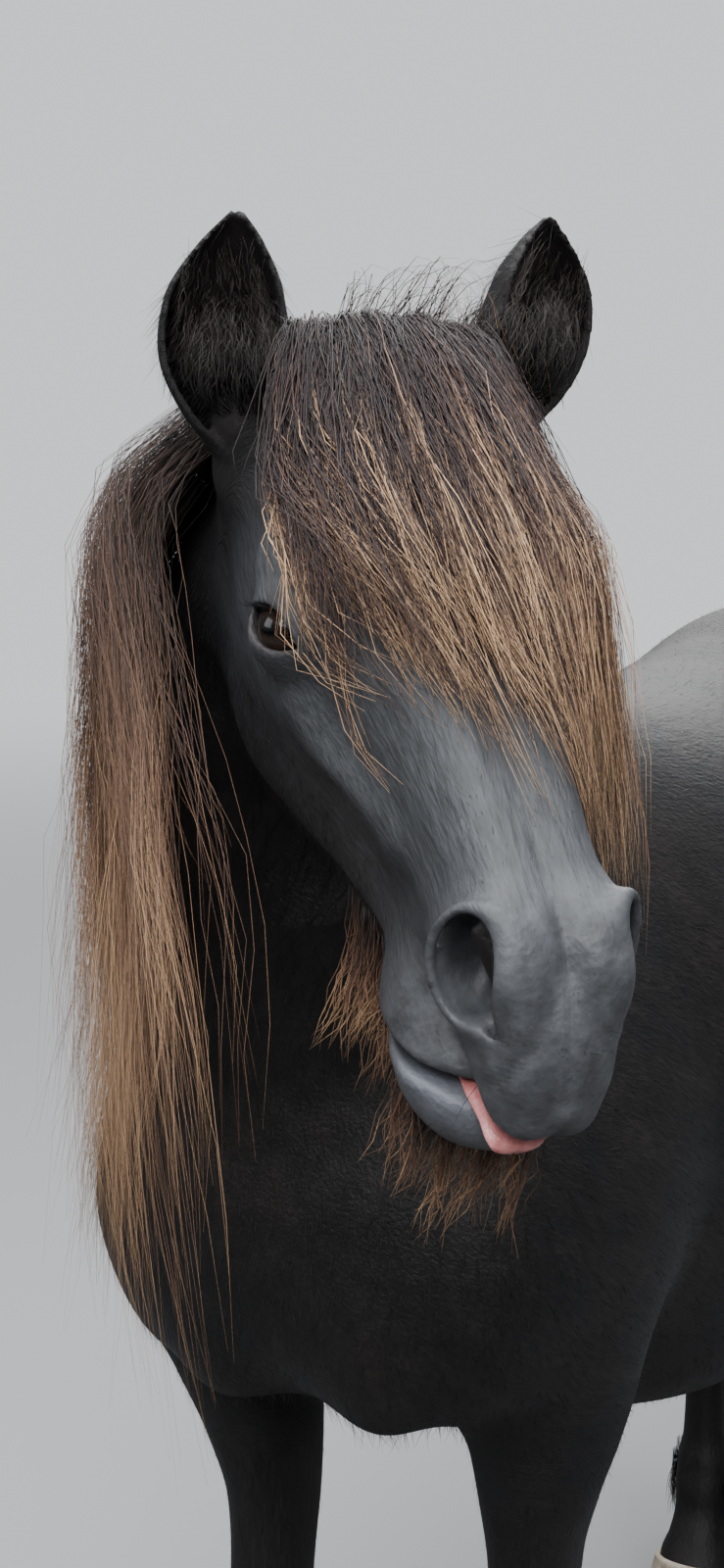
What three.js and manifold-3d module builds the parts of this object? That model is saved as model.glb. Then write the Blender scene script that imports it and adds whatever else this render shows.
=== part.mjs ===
// Shetland pony, life size, standing still with its head turned to its left.
// Millimetres. +Z up, the pony faces -Y, its left side is +X. The soles rest on Z = 0.
// One smooth field (negative inside) gives the body; every node is meshed from it, thinned
// and cut clear of its neighbours. Hair is built as tapered locks joined to its own node.
import * as THREE from 'three';
import Module from 'manifold-3d';

const wasm = await Module();
wasm.setup();
const { Manifold, Mesh } = wasm;

// Driving sizes
const GAP = 0.3;                     // clearance between neighbouring nodes
const POLL_HEIGHT = 1184;            // top of the skull between the ears
const POLL_Y = -634;                 // the poll with the neck straight
const BEND_START_Y = -400;           // the neck is straight behind this plane
const BEND_LENGTH = 170;             // length of neck over which the turn is spread
const BEND_HOLD = 170;               // how much later the lower neck begins to turn
const BEND_HOLD_LOW = 800;           // below this level the neck base keeps straight
const BEND_HOLD_HIGH = 1010;         // above this level the whole turn applies
const HEAD_TURN = THREE.MathUtils.degToRad(50);
const HEAD_PITCH = THREE.MathUtils.degToRad(43);
const FORE_STANCE = { left: 94, right: 106 };  // how far each forefoot stands from the middle
const HIND_STANCE = { left: 90, right: 82 };
const HIND_INWARD = { left: 0, right: 44 };    // how far each hind foot comes in under the body
const FORE_SHIFT = { left: 14, right: -12 };   // how far each foot stands back
const HIND_SHIFT = { left: 34, right: -58 };
const CENTRE = { x: 57, y: -49 };     // middle of the whole outline, taken as the origin
const FORE_LEG_TOP = 470;            // level where the foreleg nodes end
const HIND_LEG_TOP = 470;

const COLORS = {
  coat: 0x17161a, horn: 0x2a2622, paleHorn: 0xb9aa94,
  mane: 0x3a2418, tongue: 0xd98079, eye: 0x140d0a,
};

// Small helpers
const clamp = (v, lo, hi) => Math.min(hi, Math.max(lo, v));
const lerp = (a, b, t) => a + (b - a) * t;
const smoothstep = (lo, hi, v) => {
  const t = clamp((v - lo) / (hi - lo), 0, 1);
  return t * t * (3 - 2 * t);
};
function smoothMin(a, b, k) {
  const h = Math.max(k - Math.abs(a - b), 0) / k;
  return Math.min(a, b) - h * h * k * 0.25;
}
const smoothMax = (a, b, k) => -smoothMin(-a, -b, k);
function randomStream(seed) {
  let s = seed >>> 0;
  return () => {
    s = (s + 0x6d2b79f5) >>> 0;
    let t = Math.imul(s ^ (s >>> 15), 1 | s);
    t = (t + Math.imul(t ^ (t >>> 7), 61 | t)) ^ t;
    return ((t ^ (t >>> 14)) >>> 0) / 4294967296;
  };
}

// Monotone cubic through rows [t, v1, v2, ...], sampled once on an even table.
const TABLE_STEPS = 240;
function profile(rows) {
  const n = rows.length;
  const t0 = rows[0][0];
  const t1 = rows[n - 1][0];
  const width = rows[0].length - 1;
  const out = [];
  for (let c = 1; c <= width; c++) {
    const slope = [];
    const h = [];
    const d = [];
    for (let i = 0; i < n - 1; i++) {
      h.push(rows[i + 1][0] - rows[i][0]);
      d.push((rows[i + 1][c] - rows[i][c]) / h[i]);
    }
    slope[0] = d[0];
    slope[n - 1] = d[n - 2];
    for (let i = 1; i < n - 1; i++) {
      if (d[i - 1] * d[i] <= 0) {
        slope[i] = 0;
      } else {
        const w1 = 2 * h[i] + h[i - 1];
        const w2 = h[i] + 2 * h[i - 1];
        slope[i] = (w1 + w2) / (w1 / d[i - 1] + w2 / d[i]);
      }
    }
    const table = new Float64Array(TABLE_STEPS + 1);
    let i = 0;
    for (let k = 0; k <= TABLE_STEPS; k++) {
      const t = lerp(t0, t1, k / TABLE_STEPS);
      while (i < n - 2 && t > rows[i + 1][0]) i++;
      const s = (t - rows[i][0]) / h[i];
      const s2 = s * s;
      const s3 = s2 * s;
      table[k] = (2 * s3 - 3 * s2 + 1) * rows[i][c] + (s3 - 2 * s2 + s) * h[i] * slope[i]
        + (3 * s2 - 2 * s3) * rows[i + 1][c] + (s3 - s2) * h[i] * slope[i + 1];
    }
    out.push(table);
  }
  const at = (t, c) => {
    const k = clamp((t - t0) / (t1 - t0), 0, 1) * TABLE_STEPS;
    const i = Math.min(TABLE_STEPS - 1, Math.floor(k));
    return out[c][i] + (out[c][i + 1] - out[c][i]) * (k - i);
  };
  return { t0, t1, at, out };
}
// Half sizes are tabled as squares, so that an end that closes to nothing is round.
const squared = (rows, columns) => rows.map(
  (r) => r.map((v, i) => (columns.includes(i) ? v * v : v)));
const root = (v) => Math.sqrt(Math.max(v, 1e-6));

// Signed distance to an oval outline with half sizes ha and hb and roundness n.
function sectionDistance(a, b, ha, hb, n) {
  const r = Math.hypot(a, b);
  if (r < 1e-6) return -Math.min(ha, hb);
  const k = Math.pow(Math.pow(Math.abs(a) / ha, n) + Math.pow(Math.abs(b) / hb, n), 1 / n);
  return r - r / k;
}
function ellipsoid(x, y, z, c, r) {
  const dx = x - c[0];
  const dy = y - c[1];
  const dz = z - c[2];
  const d = Math.hypot(dx, dy, dz);
  if (d < 1e-6) return -Math.min(r[0], r[1], r[2]);
  const k = Math.hypot(dx / r[0], dy / r[1], dz / r[2]);
  return d - d / k;
}
function capsule(x, y, z, a, b, ra, rb) {
  const ex = b[0] - a[0];
  const ey = b[1] - a[1];
  const ez = b[2] - a[2];
  const t = clamp(((x - a[0]) * ex + (y - a[1]) * ey + (z - a[2]) * ez)
    / (ex * ex + ey * ey + ez * ez), 0, 1);
  return Math.hypot(x - a[0] - ex * t, y - a[1] - ey * t, z - a[2] - ez * t) - lerp(ra, rb, t);
}

// Trunk: y, centre height, reach up, reach down, half width, roundness.
const TRUNK = profile(squared([
  [-518, 672, 0, 0, 0, 2.3],
  [-506, 672, 60, 74, 88, 2.3],
  [-483, 674, 92, 110, 124, 2.3],
  [-450, 678, 122, 138, 144, 2.25],
  [-400, 684, 175, 164, 158, 2.15],
  [-340, 690, 225, 190, 163, 2.0],
  [-270, 695, 268, 216, 170, 1.85],
  [-220, 695, 279, 237, 178, 1.8],
  [-150, 690, 272, 268, 192, 1.9],
  [-50, 682, 264, 286, 208, 2.05],
  [50, 677, 262, 290, 214, 2.1],
  [150, 677, 266, 280, 209, 2.1],
  [230, 686, 268, 250, 194, 2.1],
  [300, 706, 267, 214, 178, 2.1],
  [370, 726, 248, 172, 160, 2.1],
  [430, 746, 212, 152, 140, 2.1],
  [480, 766, 166, 122, 110, 2.05],
  [520, 780, 112, 82, 76, 2.0],
  [545, 786, 0, 0, 0, 2.0],
], [2, 3, 4]));

function trunkField(x, y, z) {
  const dz = z - TRUNK.at(y, 0);
  const half = root(TRUNK.at(y, dz > 0 ? 1 : 2));
  const round = dz > 0 ? TRUNK.at(y, 4) : 2.1 + 0.7 * smoothstep(-360, -180, y);
  const f = sectionDistance(x, dz, root(TRUNK.at(y, 3)), half, round);
  const over = Math.max(TRUNK.t0 - y, y - TRUNK.t1, 0);
  return over > 0 ? Math.hypot(Math.max(f, 0), over) : f;
}

// Legs: height, centre y, how far outside the foot, half depth, half width.
const FORE = profile(squared([
  [36, -366, 0, 38, 36],
  [60, -358, 0, 36, 34],
  [76, -355, 0, 29, 28],
  [96, -350, 0, 25, 25],
  [120, -341, 0, 32, 27],
  [136, -336, 0, 32, 27],
  [158, -334, 0, 27, 22],
  [195, -333, 0, 25, 19],
  [235, -333, 0, 25, 19],
  [265, -334, 0, 28, 24],
  [292, -336, 0, 32, 30],
  [316, -336, 0, 34, 30],
  [345, -333, 0, 35, 29],
  [400, -329, 1, 41, 31],
  [450, -334, 6, 47, 40],
  [500, -343, 14, 55, 51],
  [545, -350, 20, 71, 58],
  [600, -345, 23, 99, 61],
  [660, -334, 24, 124, 59],
  [720, -318, 19, 118, 48],
  [780, -286, 1, 92, 40],
  [830, -268, -17, 60, 26],
  [862, -262, -23, 0, 0],
], [3, 4]));
const HIND = profile(squared([
  [36, 366, 0, 38, 36],
  [60, 374, 0, 36, 34],
  [76, 378, 0, 29, 28],
  [97, 386, 0, 26, 25],
  [125, 396, 0, 32, 27],
  [141, 400, 0, 32, 27],
  [165, 402, 0, 28, 22],
  [210, 405, 0, 27, 20],
  [260, 408, 0, 28, 21],
  [300, 412, 0, 33, 24],
  [340, 418, 1, 40, 29],
  [370, 425, 2, 43, 30],
  [395, 430, 3, 40, 28],
  [420, 426, 4, 37, 27],
  [450, 412, 6, 42, 28],
  [500, 390, 9, 60, 35],
  [550, 371, 15, 86, 44],
  [600, 356, 21, 110, 52],
  [650, 360, 25, 131, 58],
  [700, 372, 26, 146, 61],
  [750, 382, 24, 146, 62],
  [800, 385, 18, 130, 60],
  [850, 385, 11, 105, 54],
  [900, 385, 1, 70, 44],
  [940, 385, -4, 0, 0],
], [3, 4]));
const SHIFT_FADE = 560;
const faded = (z) => clamp((SHIFT_FADE - z) / SHIFT_FADE, 0, 1);
const pick = (pair, side) => (side > 0 ? pair.left : pair.right);
function legField(table, out, y, z, shift) {
  const back = shift * faded(z);
  const a = out - table.at(z, 1);
  const b = y - back - table.at(z, 0);
  const f = sectionDistance(a, b, root(table.at(z, 3)), root(table.at(z, 2)), 2.15);
  const over = Math.max(table.t0 - z, z - table.t1, 0);
  return over > 0 ? Math.hypot(Math.max(f, 0), over) : f;
}
// The tendon groove, knee and hock keep the limbs from reading as plain tubes.
function foreLeg(x, y, z, side) {
  const shift = pick(FORE_SHIFT, side);
  const xs = x * side - pick(FORE_STANCE, side);
  const yy = y - shift * faded(z);
  let f = legField(FORE, xs, y, z, shift);
  f = smoothMin(f, ellipsoid(xs, yy, z, [0, -352, 306], [25, 16, 26]), 10);
  f = smoothMin(f, capsule(xs, yy, z, [0, -316, 322], [1, -308, 340], 10, 8), 12);
  f = smoothMin(f, capsule(xs, yy, z, [0, -322, 130], [0, -316, 118], 11, 9), 12);
  f = smoothMax(f, -capsule(xs, yy, z, [24, -332, 170], [23, -334, 262], 4, 4), 6);
  f = smoothMax(f, -capsule(xs, yy, z, [-24, -332, 170], [-23, -334, 262], 4, 4), 6);
  return f;
}
function hindLeg(x, y, z, side) {
  const shift = pick(HIND_SHIFT, side);
  const xs = x * side - pick(HIND_STANCE, side) + pick(HIND_INWARD, side) * faded(z);
  const yy = y - shift * faded(z);
  let f = legField(HIND, xs, y, z, shift);
  f = smoothMin(f, capsule(xs, yy, z, [2, 446, 372], [2, 462, 412], 15, 12), 16);
  f = smoothMin(f, capsule(xs, yy, z, [2, 462, 412], [6, 440, 500], 10, 12), 18);
  f = smoothMin(f, capsule(xs, yy, z, [0, 413, 134], [0, 418, 122], 11, 9), 12);
  f = smoothMin(f, ellipsoid(xs, yy, z, [0, 392, 352], [24, 18, 26]), 12);
  f = smoothMax(f, -capsule(xs, yy, z, [25, 404, 170], [25, 408, 290], 4, 4), 6);
  f = smoothMax(f, -capsule(xs, yy, z, [-25, 404, 170], [-25, 408, 290], 4, 4), 6);
  return f;
}

// Neck: station, middle y, middle z, reach to the crest, reach to the throat, half width, egg.
const NECK = profile([
  [0, -360, 850, 165, 176, 112, 0.30],
  [1, -415, 925, 146, 137, 109, 0.34],
  [2, -458, 985, 117, 102, 99, 0.34],
  [3, -500, 1038, 92, 80, 88, 0.28],
  [4, -545, 1075, 75, 70, 78, 0.20],
  [5, -602, 1098, 70, 66, 68, 0.10],
]);
const COARSE = 12;
function neckStation(i) {
  const [my, mz] = NECK.out;
  const lo = Math.max(i - 1, 0);
  const up = Math.min(i + 1, TABLE_STEPS);
  const ty = my[up] - my[lo];
  const tz = mz[up] - mz[lo];
  const len = Math.hypot(ty, tz);
  return [my[i], mz[i], ty / len, tz / len];
}
function neckNeutral(x, y, z) {
  const [my, mz] = NECK.out;
  const apart = (i) => (y - my[i]) ** 2 + (z - mz[i]) ** 2;
  let at = 0;
  for (let i = 0; i <= TABLE_STEPS; i += COARSE) if (apart(i) < apart(at)) at = i;
  const from = Math.max(at - COARSE, 0);
  const to = Math.min(at + COARSE, TABLE_STEPS);
  for (let i = from; i <= to; i++) if (apart(i) < apart(at)) at = i;
  const [cy, cz, ty, tz] = neckStation(at);
  const along = (y - cy) * ty + (z - cz) * tz;
  const b = (y - cy) * tz - (z - cz) * ty;
  const step = (NECK.t1 - NECK.t0) / TABLE_STEPS;
  const s = clamp(NECK.t0 + at * step + along * step / 2, NECK.t0, NECK.t1);
  const half = NECK.at(s, b > 0 ? 2 : 3);
  const hw = NECK.at(s, 4) * (1 - NECK.at(s, 5) * clamp(b / half, -1, 1));
  const f = sectionDistance(x, b, hw, half, 2.1);
  const over = at === 0 || at === TABLE_STEPS ? Math.abs(along) : 0;
  return over > 0 ? Math.hypot(Math.max(f, 0), over) : f;
}
// Point of the crest at a station, with the neck straight: y and z.
function crestPoint(s) {
  const i = Math.round(((s - NECK.t0) / (NECK.t1 - NECK.t0)) * TABLE_STEPS);
  const [cy, cz, ty, tz] = neckStation(i);
  const up = NECK.at(s, 2);
  return [cy + tz * up, cz - ty * up];
}

// The turn of the neck: an arc about a standing axis, straight before and after it.
const BEND_RADIUS = BEND_LENGTH / HEAD_TURN;
const BEND_END = [
  BEND_RADIUS * (1 - Math.cos(HEAD_TURN)),
  BEND_START_Y - BEND_RADIUS * Math.sin(HEAD_TURN),
];
const bendStart = (z) => BEND_START_Y
  - BEND_HOLD * (1 - smoothstep(BEND_HOLD_LOW, BEND_HOLD_HIGH, z));
function straightened(x, y, z) {
  const start = bendStart(z);
  const later = start - BEND_START_Y;
  if (y >= start) return [x, y];
  const phi = Math.atan2(start - y, BEND_RADIUS - x);
  if (phi <= HEAD_TURN) {
    const r = Math.hypot(BEND_RADIUS - x, start - y);
    return [BEND_RADIUS - r, start - phi * BEND_RADIUS];
  }
  const s = Math.sin(HEAD_TURN);
  const c = Math.cos(HEAD_TURN);
  const qx = x - BEND_END[0];
  const qy = y - BEND_END[1] - later;
  return [qx * c + qy * s, start - BEND_LENGTH - (qx * s - qy * c)];
}
function turned(x, y, z) {
  const start = bendStart(z);
  if (y >= start) return [x, y];
  const along = start - y;
  const phi = Math.min(along / BEND_RADIUS, HEAD_TURN);
  const s = Math.sin(phi);
  const c = Math.cos(phi);
  const rest = along - phi * BEND_RADIUS;
  return [
    BEND_RADIUS - (BEND_RADIUS - x) * c + rest * s,
    start - (BEND_RADIUS - x) * s - rest * c,
  ];
}
function neckField(x, y, z) {
  const [nx, ny] = straightened(x, y, z);
  return neckNeutral(nx, ny, z);
}

// Head frame: x to its left, u down the face from the poll, w out of the forehead.
const headForward = new THREE.Vector3(Math.sin(HEAD_TURN), -Math.cos(HEAD_TURN), 0);
const headU = headForward.clone().multiplyScalar(Math.cos(HEAD_PITCH))
  .add(new THREE.Vector3(0, 0, -Math.sin(HEAD_PITCH)));
const headX = new THREE.Vector3(Math.cos(HEAD_TURN), Math.sin(HEAD_TURN), 0);
const headW = new THREE.Vector3().crossVectors(headU, headX).normalize();
const pollAt = turned(0, POLL_Y, POLL_HEIGHT);
const headOrigin = new THREE.Vector3(pollAt[0], pollAt[1], POLL_HEIGHT);
const headMatrix = new THREE.Matrix4().makeBasis(headX, headU, headW).setPosition(headOrigin);
const headInverse = headMatrix.clone().invert();
const fromHead = (x, u, w) => new THREE.Vector3(x, u, w).applyMatrix4(headMatrix);

// Face: u, top, bottom, half width, roundness.
const FACE = profile(squared([
  [-42, -62, 22, 24, 2.0],
  [-20, -60, 44, 46, 2.1],
  [10, -62, 64, 62, 2.2],
  [50, -68, 76, 71, 2.4],
  [95, -64, 75, 76, 2.6],
  [145, -56, 65, 71, 2.5],
  [195, -50, 54, 54, 2.3],
  [245, -47, 46, 44, 2.2],
  [290, -46, 42, 41, 2.2],
  [328, -48, 41, 42, 2.2],
  [350, -52, 38, 38, 2.2],
  [368, -58, 33, 33, 2.2],
  [383, -64, 23, 25, 2.1],
  [392, -68, 0, 0, 2.0],
], [2, 3]));
const JAW = profile(squared([
  [8, -105, 0, 0],
  [22, -110, 42, 36],
  [55, -116, 66, 60],
  [105, -112, 78, 66],
  [160, -105, 72, 60],
  [210, -98, 58, 47],
  [260, -96, 43, 39],
  [300, -108, 36, 49],
  [335, -117, 33, 48],
  [356, -118, 28, 40],
  [372, -118, 18, 26],
  [381, -117, 0, 0],
], [2, 3]));
function alongU(table, x, u, w, n) {
  const hw = root(table.at(u, 2));
  const f = sectionDistance(x, w - table.at(u, 0), hw, root(table.at(u, 1)), n);
  const over = Math.max(table.t0 - u, u - table.t1, 0);
  return over > 0 ? Math.hypot(Math.max(f, 0), over) : f;
}

// Eye: centre, sight line, opening.
const EYE_CENTRE = [65, 136, -37];
const EYE_RADIUS = 20;
const EYE_CLEAR = 0.7;               // room left round the eyeball
const EYE_ROWS = 9;
const EYE_COLUMNS = 14;
const EYE_AXIS = new THREE.Vector3(0.86, 0.2, 0.4).normalize();
const EYE_LONG = new THREE.Vector3(0, 1, 0.45).cross(EYE_AXIS).cross(EYE_AXIS).negate().normalize();
const EYE_UP = new THREE.Vector3().crossVectors(EYE_LONG, EYE_AXIS).normalize();
if (EYE_UP.z < 0) EYE_UP.negate();
const LID = 4.5;
const EYE_HALF_LENGTH = 18.5;
const EYE_OPEN_UP = 9.5;
const EYE_OPEN_DOWN = 8.5;
function eyeCoordinates(ax, u, w) {
  const dx = ax - EYE_CENTRE[0];
  const du = u - EYE_CENTRE[1];
  const dw = w - EYE_CENTRE[2];
  return [
    dx * EYE_LONG.x + du * EYE_LONG.y + dw * EYE_LONG.z,
    dx * EYE_UP.x + du * EYE_UP.y + dw * EYE_UP.z,
    dx * EYE_AXIS.x + du * EYE_AXIS.y + dw * EYE_AXIS.z,
  ];
}

// Nostril, in the same half-head frame.
const NOSTRIL_CENTRE = [27, 330, -34];
const NOSTRIL_AXIS = new THREE.Vector3(0.70, 0.62, 0.36).normalize();
const NOSTRIL_LONG = new THREE.Vector3(-0.05, 0.52, -0.81);
NOSTRIL_LONG.addScaledVector(NOSTRIL_AXIS, -NOSTRIL_LONG.dot(NOSTRIL_AXIS)).normalize();
const NOSTRIL_SHORT = new THREE.Vector3().crossVectors(NOSTRIL_AXIS, NOSTRIL_LONG);
function nostrilCoordinates(ax, u, w) {
  const dx = ax - NOSTRIL_CENTRE[0];
  const du = u - NOSTRIL_CENTRE[1];
  const dw = w - NOSTRIL_CENTRE[2];
  return [
    dx * NOSTRIL_LONG.x + du * NOSTRIL_LONG.y + dw * NOSTRIL_LONG.z,
    dx * NOSTRIL_SHORT.x + du * NOSTRIL_SHORT.y + dw * NOSTRIL_SHORT.z,
    dx * NOSTRIL_AXIS.x + du * NOSTRIL_AXIS.y + dw * NOSTRIL_AXIS.z,
  ];
}

// Height of the mouth line along the face.
const mouthLine = (u) => -130 + 38 * smoothstep(278, 392, u);

function headField(x, u, w) {
  const ax = Math.abs(x);
  const n = FACE.at(u, 3);
  let f = alongU(FACE, ax, u, w, n);
  f = smoothMin(f, alongU(JAW, ax, u, w, 2.3), 16);
  // Cheek, brow, bony ridges and the hollow above the eye.
  f = smoothMin(f, ellipsoid(ax, u, w, [34, 96, -122], [30, 62, 58]), 22);
  f = smoothMin(f, ellipsoid(ax, u, w, [59, 122, -24], [24, 38, 20]), 18);
  f = smoothMin(f, capsule(ax, u, w, [60, 160, -64], [40, 250, -62], 8, 6), 24);
  f = smoothMin(f, capsule(ax, u, w, [24, 150, -10], [15, 330, -22], 12, 10), 20);
  f = smoothMax(f, -ellipsoid(ax, u, w, [62, 84, -2], [12, 18, 10]), 16);
  f = smoothMax(f, -ellipsoid(ax, u, w, [62, 262, -84], [16, 60, 22]), 24);
  // Base of the ear.
  const stem = x > 0 ? [75, 6, -14] : [60, 8, -24];
  f = smoothMin(f, capsule(ax, u, w, [54, 18, -46], stem, 24, 22), 24);
  // Eyelids over the eyeball, then the opening between them.
  const [ea, eb, ec] = eyeCoordinates(ax, u, w);
  if (Math.hypot(ea, eb, ec) < 60) {
    const ball = Math.hypot(ea, eb, ec);
    f = smoothMin(f, ball - (EYE_RADIUS + LID), 9);
    const lidFold = Math.hypot(Math.hypot(ea * 0.8, eb - 17) - 1, ec - 17) - 3.5;
    f = smoothMin(f, lidFold, 7);
    const reach = 1 - Math.pow(clamp(Math.abs(ea) / EYE_HALF_LENGTH, 0, 1), 2);
    const height = (eb > 0 ? EYE_OPEN_UP : EYE_OPEN_DOWN) * reach;
    const open = Math.max(Math.abs(eb) - height, Math.abs(ea) - EYE_HALF_LENGTH, 6 - ec);
    f = smoothMax(f, -open, 2.5);
  }
  // Nostril: swollen wing, rim and comma-shaped hollow with the inner fold.
  f = smoothMin(f, ellipsoid(ax, u, w, [22, 330, -35], [22, 36, 32]), 14);
  const [na, nb, nc] = nostrilCoordinates(ax, u, w);
  if (Math.hypot(na, nb, nc) < 70) {
    const rim = Math.hypot(Math.hypot(na / 1.25, nb) - 21, nc - 10) - 4.6;
    f = smoothMin(f, rim, 8);
    const hollow = ellipsoid(na, nb, nc, [0, -3, 12], [24, 15, 26]);
    const tail = capsule(na, nb, nc, [12, 4, 17], [26, 16, 15], 7, 3);
    f = smoothMax(f, -smoothMin(hollow, tail, 6), 5);
    const fold = capsule(na, nb, nc, [-16, 1, 7], [15, 19, 9], 6, 8);
    f = smoothMin(f, fold, 6);
  }
  // Lips, chin and the mouth line.
  f = smoothMin(f, ellipsoid(ax, u, w, [0, 367, -70], [29, 31, 24]), 12);
  f = smoothMin(f, ellipsoid(ax, u, w, [10, 380, -80], [16, 17, 13]), 10);
  f = smoothMin(f, ellipsoid(ax, u, w, [0, 334, -136], [36, 36, 29]), 12);
  f = smoothMin(f, ellipsoid(ax, u, w, [0, 356, -114], [33, 22, 18]), 8);
  const line = mouthLine(u);
  const inset = smoothstep(284, 330, u);
  const slot = Math.max(Math.abs(w - line) - 1.2 - 1.6 * inset, 287 - u);
  const depth = lerp(30, 14, inset);
  const reachIn = depth - ax;
  const front = smoothstep(340, 360, u);
  f = smoothMax(f, -Math.max(slot, reachIn * (1 - front)), 4);
  return f;
}

// Dock of the tail, short stub that stays with the torso.
const DOCK = { from: [0, 496, 884], to: [0, 590, 846], r0: 46, r1: 27 };

function bodyField(x, y, z) {
  let f = trunkField(x, y, z);
  const ax = Math.abs(x);
  if (z > 600 && y < -60) {
    f = smoothMin(f, neckField(x, y, z), 55);
  }
  if (y < -150 && z < 900) {
    const side = x > 0 ? 1 : -1;
    f = smoothMin(f, foreLeg(x, y, z, side), 42);
    // Point of the shoulder, breast muscle and elbow.
    f = smoothMin(f, ellipsoid(ax, y, z, [101, -438, 660], [50, 60, 108]), 50);
    f = smoothMin(f, ellipsoid(ax, y, z, [54, -458, 640], [50, 56, 104]), 34);
    f = smoothMin(f, ellipsoid(ax, y, z, [108, -297, 568], [24, 31, 37]), 30);
  }
  if (y > 150 && z < 980) {
    const side = x > 0 ? 1 : -1;
    f = smoothMin(f, hindLeg(x, y, z, side), 42);
    f = smoothMin(f, capsule(x, y, z, DOCK.from, DOCK.to, DOCK.r0, DOCK.r1), 40);
    // Stifle and the line between the buttocks.
    f = smoothMin(f, ellipsoid(ax, y, z, [118, 272, 590], [36, 46, 56]), 44);
    f = smoothMax(f, -capsule(x, y, z, [0, 560, 800], [0, 500, 560], 9, 16), 26);
  }
  return f;
}
function wholeField(x, y, z) {
  let f = bodyField(x, y, z);
  if (z > 760 && y < -380) {
    const p = localPoint(x, y, z);
    if (p[2] > -280) f = smoothMin(f, headField(p[0], p[1], p[2]), 22);
  }
  return f;
}
const hi = headInverse.elements;
function localPoint(x, y, z) {
  return [
    hi[0] * x + hi[4] * y + hi[8] * z + hi[12],
    hi[1] * x + hi[5] * y + hi[9] * z + hi[13],
    hi[2] * x + hi[6] * y + hi[10] * z + hi[14],
  ];
}

// Surface of a field by splitting every grid cell into six tetrahedra.
const TETS = [[0, 1, 3, 7], [0, 3, 2, 7], [0, 2, 6, 7], [0, 6, 4, 7], [0, 4, 5, 7], [0, 5, 1, 7]];
function surfaceOf(field, box, step) {
  const [lo, hiCorner] = box;
  const n = [0, 1, 2].map((i) => Math.max(2, Math.ceil((hiCorner[i] - lo[i]) / step) + 1));
  const [nx, ny, nz] = n;
  const value = new Float32Array(nx * ny * nz);
  const floorValue = step * 0.01;
  for (let k = 0; k < nz; k++) {
    for (let j = 0; j < ny; j++) {
      for (let i = 0; i < nx; i++) {
        const edge = i === 0 || j === 0 || k === 0 || i === nx - 1 || j === ny - 1 || k === nz - 1;
        let v = edge ? step : field(lo[0] + i * step, lo[1] + j * step, lo[2] + k * step);
        if (Math.abs(v) < floorValue) v = v < 0 ? -floorValue : floorValue;
        value[(k * ny + j) * nx + i] = v;
      }
    }
  }
  const points = [];
  const faces = [];
  const seen = new Map();
  const total = nx * ny * nz;
  const at = (id) => {
    const i = id % nx;
    const j = Math.floor(id / nx) % ny;
    const k = Math.floor(id / (nx * ny));
    return [lo[0] + i * step, lo[1] + j * step, lo[2] + k * step];
  };
  const cut = (a, b) => {
    const key = a < b ? a * total + b : b * total + a;
    let id = seen.get(key);
    if (id === undefined) {
      const pa = at(a);
      const pb = at(b);
      const t = value[a] / (value[a] - value[b]);
      id = points.length / 3;
      points.push(lerp(pa[0], pb[0], t), lerp(pa[1], pb[1], t), lerp(pa[2], pb[2], t));
      seen.set(key, id);
    }
    return id;
  };
  const emit = (a, b, c, inside, outside) => {
    const p = (i) => [points[3 * i], points[3 * i + 1], points[3 * i + 2]];
    const [A, B, C] = [p(a), p(b), p(c)];
    const u = [B[0] - A[0], B[1] - A[1], B[2] - A[2]];
    const v = [C[0] - A[0], C[1] - A[1], C[2] - A[2]];
    const m = [u[1] * v[2] - u[2] * v[1], u[2] * v[0] - u[0] * v[2], u[0] * v[1] - u[1] * v[0]];
    const I = at(inside);
    const O = at(outside);
    const d = m[0] * (O[0] - I[0]) + m[1] * (O[1] - I[1]) + m[2] * (O[2] - I[2]);
    if (d > 0) faces.push(a, b, c);
    else faces.push(a, c, b);
  };
  const corner = [0, 1, nx, nx + 1, nx * ny, nx * ny + 1, nx * ny + nx, nx * ny + nx + 1];
  for (let k = 0; k < nz - 1; k++) {
    for (let j = 0; j < ny - 1; j++) {
      for (let i = 0; i < nx - 1; i++) {
        const base = (k * ny + j) * nx + i;
        let below = 0;
        for (let c = 0; c < 8; c++) if (value[base + corner[c]] < 0) below++;
        if (below === 0 || below === 8) continue;
        for (const tet of TETS) {
          const ids = tet.map((c) => base + corner[c]);
          const ins = ids.filter((id) => value[id] < 0);
          const outs = ids.filter((id) => value[id] >= 0);
          if (ins.length === 1) {
            emit(cut(ins[0], outs[0]), cut(ins[0], outs[1]), cut(ins[0], outs[2]), ins[0], outs[0]);
          } else if (ins.length === 3) {
            emit(cut(ins[0], outs[0]), cut(ins[1], outs[0]), cut(ins[2], outs[0]), ins[0], outs[0]);
          } else if (ins.length === 2) {
            const a = cut(ins[0], outs[0]);
            const b = cut(ins[0], outs[1]);
            const c = cut(ins[1], outs[1]);
            const d = cut(ins[1], outs[0]);
            emit(a, b, c, ins[0], outs[0]);
            emit(a, c, d, ins[0], outs[0]);
          }
        }
      }
    }
  }
  const mesh = { points: Float64Array.from(points), faces: Uint32Array.from(faces) };
  return relaxed(mesh, field, step);
}

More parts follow.
